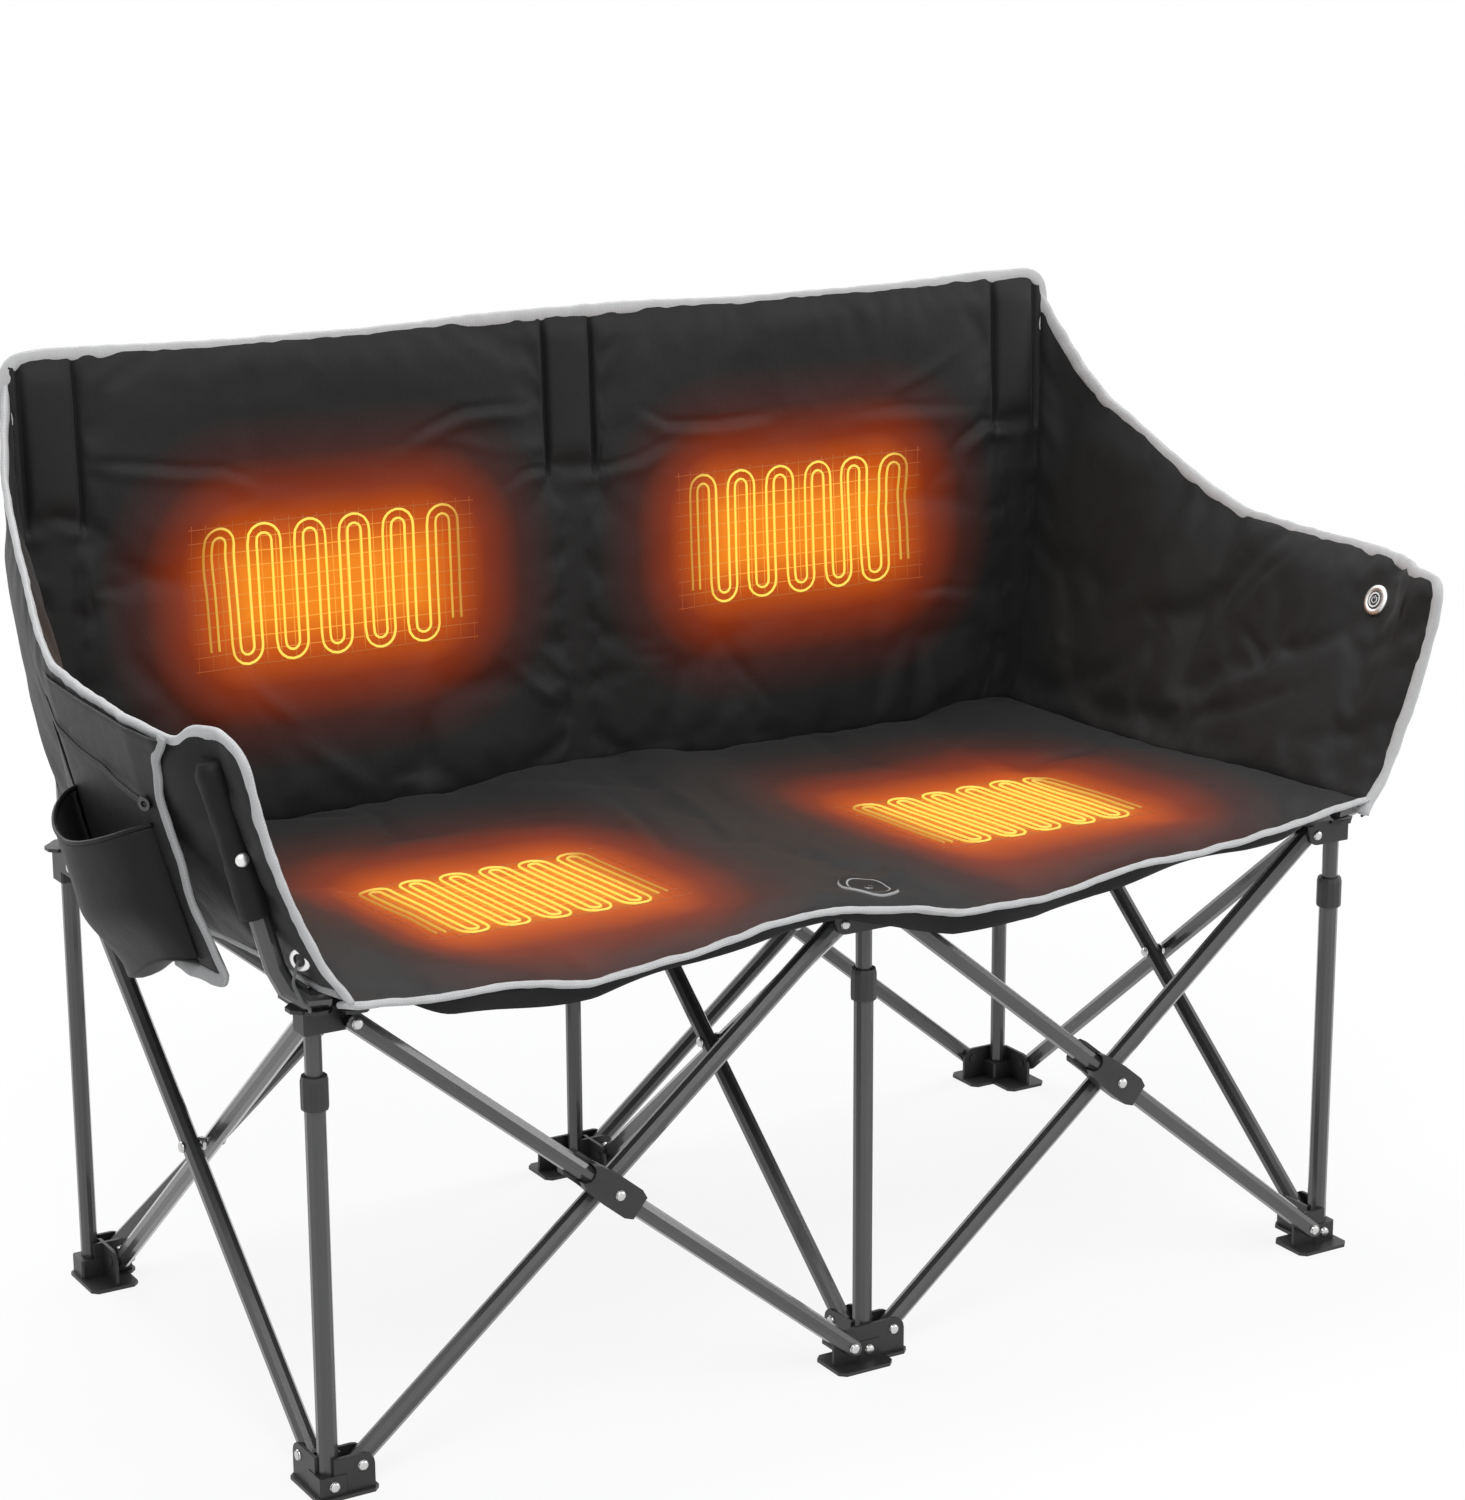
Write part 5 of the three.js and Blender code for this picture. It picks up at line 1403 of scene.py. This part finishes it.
def flap_place(u, v):
    z = mix(472.3, 692.0, v)
    y = mix(table(FLAP_FRONT, z), 57, u)
    lean = (1 - v) * 4 * math.sin(4.2 * u + 0.5)
    ripple = 1.6 * math.sin(y / 24.0 + z / 60.0) * (1 - v)
    return pouch_x(y, z) - 0.6 + lean * 0.4 - ripple * 0.4, y, z


flap = thin_sheet("organizer_flap", 60, 40, flap_place, 2.2, (338, 216))
sew(flap, "organizer_left", CLOTH_PLAIN, ["organizer_left"])


def pocket_out(u, v):
    """How far the cup pocket stands off the flap."""
    return mix(24, 52, smooth(2.0 * v)) * max(0.0, math.sin(math.pi * u ** 0.93)) ** 0.5


def pocket_shell(u, v, inner):
    y = mix(mix(-228, -208, v), mix(-25, -3, v), u)
    low = mix(489, 432, smooth(1.2 * u))
    high = mix(607, 591, u) - 24 * max(0.0, math.sin(math.pi * u)) ** 0.8
    z = mix(low, high, v)
    wrinkle = 1.6 * math.sin(9 * u + 5 * v) * v * (1 - abs(2 * u - 1)) + 1.5 * wobble(y, z, 0, 60.0, 3.0)
    out = pocket_out(u, v) + wrinkle - (1.8 if inner else 0.0)
    return pouch_x(y, z) - 1.6 - max(out, 0.5 if inner else 0.9), y, z


NU, NV = 48, 26
outer = grid(NU, NV, lambda u, v: pocket_shell(u, v, False))
inner_face = grid(NU, NV, lambda u, v: pocket_shell(u, v, True))
pocket = make_pad("organizer_pocket", outer, inner_face, (260, 135))
sew(pocket, "organizer_left", CLOTH_PLAIN)

floor_points = []
for k in range(NU + 1):
    hem = np.array(pocket_shell(k / NU, 0.0, False))
    base = np.array([pouch_x(hem[1], hem[2]) - 1.6, hem[1], hem[2]])
    for w in range(5):
        floor_points.append(mix(base, hem, w / 4) - np.array([0, 0, 2.2 * math.sin(math.pi * w / 4)]))
floor_faces = [(a, a + 1, a + 6, a + 5) for k in range(NU) for a in range(k * 5, k * 5 + 4)]
pocket_floor = new_object("pocket_floor", floor_points, floor_faces, True, seen_from_above(floor_points, floor_faces))
thicken(pocket_floor, 0.0016)
sew(pocket_floor, "organizer_left", CLOTH_PLAIN)

rim_points = [pocket_shell(k / 60, 1.0, False) for k in range(61)]
rim = tube("pocket_rim", np.array(rim_points) + np.array([0.9, 0, 0.4]), 2.0, 8, 3.0, seed=6.0)
dress(rim, "organizer_left", CLOTH_UNDER, joint="y")

# Binding down the flap's front edge and round its lower corner
line, line_in = [], []
for z in np.linspace(694, 484, 44):
    y = table(FLAP_FRONT, z)
    line.append((pouch_x(y, z) - 1.4, y, z))
    line_in.append((0.0, 1.0, 0.0))
for k in range(1, 10):
    a = k / 9 * math.pi / 2
    line.append((pouch_x(-258, 476) - 1.4, -266.5 + 12 * (1 - math.cos(a)), 484 - 11 * math.sin(a)))
    line_in.append((0.0, math.cos(a), math.sin(a)))
for y in np.linspace(-248, -174, 16):
    line.append((pouch_x(y, 473) - 1.4, y, mix(473, 470, (y + 248) / 74)))
    line_in.append((0.0, 0.0, 1.0))
flap_binding = strip("binding_organizer", line, line_in, 6.6, 2.6, 4.2, seed=21.0, pucker=1.2)
dress(flap_binding, "organizer_left", BINDING_DARK, joint="y")

# Small net pocket behind the cup pocket
def net_place(u, v):
    y, z = mix(2, 50, u), mix(480, mix(588, 640, u), v)
    return pouch_x(y, z) - 3.0 - 5 * math.sin(math.pi * u) * math.sin(math.pi * v), y, z


net_pocket = thin_sheet("net_pocket", 14, 24, net_place, 1.4, (48, 140))
sew(net_pocket, "organizer_left", MESH_CLOTH)

# Zip along the flap, with its puller
ZIP_LINE = [(-214, 629), (-178, 630), (-148, 632.5), (-118, 639), (-60, 640), (-10, 646), (24, 652), (46, 664)]
zip_points = []
for y in np.linspace(46, -214, 70):
    z = table(ZIP_LINE, y)
    zip_points.append((pouch_x(y, z) - 2.4, y, z))
tape = strip("zip_tape", zip_points, [(0.0, 0, 1.0)] * len(zip_points), 7.0, 0.9, 0.0, seed=31.0, pucker=0.5)
dress(tape, "organizer_left", CLOTH_UNDER, joint="y")
zip_run = resample(zip_points, 2.2)[1][0]
tooth_points, tooth_faces = [], []
for k, p in enumerate(zip_run):
    up_shift = 0.5 if k % 2 else -0.5
    c = p + np.array([-1.2, 0, up_shift])
    base = len(tooth_points)
    for dx, dy, dz in [(-0.6, -0.7, -1.3), (0.6, -0.7, -1.3), (0.6, 0.7, -1.3), (-0.6, 0.7, -1.3),
                       (-0.6, -0.5, 1.3), (0.6, -0.5, 1.3), (0.6, 0.5, 1.3), (-0.6, 0.5, 1.3)]:
        tooth_points.append(c + np.array([dx, dy, dz]))
    for f in [(0, 1, 2, 3), (4, 7, 6, 5), (0, 4, 5, 1), (1, 5, 6, 2), (2, 6, 7, 3), (3, 7, 4, 0)]:
        tooth_faces.append(tuple(base + q for q in f))
zip_teeth = new_object("zip_teeth", tooth_points, tooth_faces, False)
dress(zip_teeth, "organizer_left", MOULDING, joint="y")
pull_at = np.array(zip_points[-1]) + np.array([-3.6, 0.0, -1.0])
pull = turned("zip_pull", [([(3.0, -1.2), (3.0, 1.2), (6.2, 1.4), (6.2, -1.4)], pull_at, (0.85, 0.5, 0.1), "ring"),
                           ([(0.01, 2.2), (2.6, 1.8), (3.2, 0), (2.6, -1.4), (0.01, -1.6)],
                            pull_at + np.array([1.0, 7.0, 2.0]), (1.0, 0, 0), "open")], 18)
dress(pull, "organizer_left", DARK_METAL, joint="y")

# Grommets and elastic loops at the two front corners
GROMMET_Y, GROMMET_V = -321.0, 0.15
for sign, side in ((-1, "left"), (1, "right")):
    x, z = arm_middle(GROMMET_Y, GROMMET_V)
    at = np.array([sign * (x + 9.0), GROMMET_Y - 2.0, z])
    ring_piece = turned(f"corner_grommet_{side}", [(RING, at, (sign * 0.82, -0.5, -0.1), "ring")], 28)
    dress(ring_piece, f"arm_{side}", BRIGHT, joint="y")
    goal = np.array([sign * (LEG_X + 14.0), -313.0, HUB_TOP + 4.0])
    loop = [at + np.array([0.0, 2.0, -1.0]), at + np.array([sign * 5.0, -2.0, -7.0]),
            mix(at, goal, 0.45) + np.array([sign * 9.0, 3.0, 0.0]),
            mix(at, goal, 0.8) + np.array([sign * 6.0, -3.0, 0.0]),
            goal + np.array([sign * 1.0, -4.0, 3.0]), goal]
    elastic = tube(f"elastic_loop_{side}", loop, 1.4, 8, 2.0, rounds=3)
    dress(elastic, f"arm_{side}", ELASTIC, joint="y")

# Power button: bright bezel, a pale ring and the power sign

BUTTON_AT = np.array([647.8, BUTTON_Y, BUTTON_Z])
BUTTON_AXIS = np.array([-0.92784, 0.0, 0.37299])
BEZEL = [(10.1, 2.0), (10.1, 4.2), (11.2, 4.9), (14.2, 4.7), (15.9, 3.2), (15.9, 2.0)]
bezel = turned("button_bezel", [(BEZEL, BUTTON_AT, BUTTON_AXIS, "ring")], 40)
dress(bezel, "button_housing", BRIGHT)
side_a = np.array([0.0, -1.0, 0.0])
side_b = np.cross(BUTTON_AXIS, side_a)
PALE = moulded("pale_lines", 0.42, 0.6)
lines = turned("button_rings", [([(6.2, 4.0), (6.2, 5.1), (7.9, 5.1), (7.9, 4.0)], BUTTON_AT, BUTTON_AXIS, "ring")], 36)
dress(lines, "power_button", PALE)
sign_path = [BUTTON_AT + 4.75 * BUTTON_AXIS + 3.4 * (side_a * math.sin(a) + side_b * math.cos(a))
             for a in np.linspace(math.radians(38), math.radians(322), 32)]
power_arc = tube("power_sign_arc", sign_path, 0.62, 8, 0.8)
power_bar = tube("power_sign_bar", [BUTTON_AT + 4.75 * BUTTON_AXIS + side_b * h for h in (1.0, 2.4, 4.4)], 0.62, 8, 0.8)
power = join_objects("power_sign", [power_arc, power_bar])
dress(power, "power_button", PALE)

# Finishes of the solids that show

BUTTON_FACE = moulded("button_face", 0.012, 0.03)
for name, node in NODES.items():
    if node.hide_render:
        continue
    material = MOULDING
    if name.startswith(("leg_", "inner_tube", "upright", "bar_", "arm_post")):
        material = TUBE
    if name.startswith("rivet_depth"):
        material = STEEL
    if name == "power_button":
        material = BUTTON_FACE
    if name == "button_housing":
        material = BRIGHT
    for slot in node.material_slots:
        slot.link = "OBJECT"
        slot.material = material

# Stage: a pale floor that keeps the shadow, soft lamps and a white surround

def seen_rays(n):
    """1 for the rays that show the backdrop: straight, off gloss or through clear parts."""
    rays = n.add("ShaderNodeLightPath").outputs
    seen = n.math("MAXIMUM", rays["Is Camera Ray"], rays["Is Glossy Ray"])
    return n.math("MAXIMUM", seen, rays["Is Transmission Ray"])


def show(n, share, first, second):
    """Ends a node tree with a mix of two shaders."""
    both = n.add("ShaderNodeMixShader", {0: share, 1: first.outputs[0], 2: second.outputs[0]})
    n.tree.links.new(both.outputs[0], n.out.inputs[0])


floor_mesh = bpy.data.meshes.new("floor")
floor_mesh.from_pydata([(-60, -60, 0), (60, -60, 0), (60, 60, 0), (-60, 60, 0)], [], [(0, 1, 2, 3)])
floor = placed("floor", floor_mesh)
f = Nodes("floor_pale")
plain = f.add("ShaderNodeBsdfDiffuse", {"Color": (0.8, 0.8, 0.8, 1.0)})
white = f.add("ShaderNodeEmission", {"Color": (1.0, 1.0, 1.0, 1.0), "Strength": 1.0})
far = f.add("ShaderNodeVectorMath", {0: f.place()}, operation="LENGTH").outputs["Value"]
fade = f.add("ShaderNodeMapRange", {"Value": far, 1: 0.9, 2: 3.2, 3: 0.86, 4: 1.0}, interpolation_type="SMOOTHSTEP")
show(f, f.math("MULTIPLY", seen_rays(f), fade.outputs[0]), plain, white)
paint(floor, f.material)

surround = Nodes("surround", world=True)
light = surround.add("ShaderNodeBackground", {"Color": (0.93, 0.96, 1.0, 1.0), "Strength": 0.5})
backdrop = surround.add("ShaderNodeBackground", {"Color": (1.0, 1.0, 1.0, 1.0), "Strength": 1.0})
show(surround, seen_rays(surround), light, backdrop)
bpy.context.scene.world = surround.material


def lamp(name, at, target, size, power):
    data = bpy.data.lights.new(name, "AREA")
    data.shape = "RECTANGLE"
    data.size, data.size_y = size
    data.energy = power
    obj = placed(name, data)
    obj.location = at
    obj.rotation_mode = "QUATERNION"
    obj.rotation_quaternion = (Vector(at) - Vector(target)).to_track_quat("Z", "Y")


lamp("key", (-1.7, -3.1, 4.4), (0, 0, 0.5), (2.6, 2.0), 140)
lamp("fill", (3.4, -2.2, 2.2), (0, 0, 0.5), (2.4, 2.4), 55)
lamp("top", (0.2, 1.0, 4.0), (0, 0, 0.5), (3.0, 2.2), 80)
lamp("rear", (-1.0, 4.0, 2.4), (0, 0, 0.6), (3.0, 2.0), 60)

camera_data = bpy.data.cameras.new("camera")
camera_data.sensor_width = SENSOR
camera_data.lens = LENS
camera = placed("camera", camera_data)
turn = Matrix((right, raised, -ahead)).transposed()
camera.matrix_world = Matrix.Translation(CAM_AT) @ turn.to_4x4()
bpy.context.scene.camera = camera
bpy.context.scene.view_settings.view_transform = "Standard"
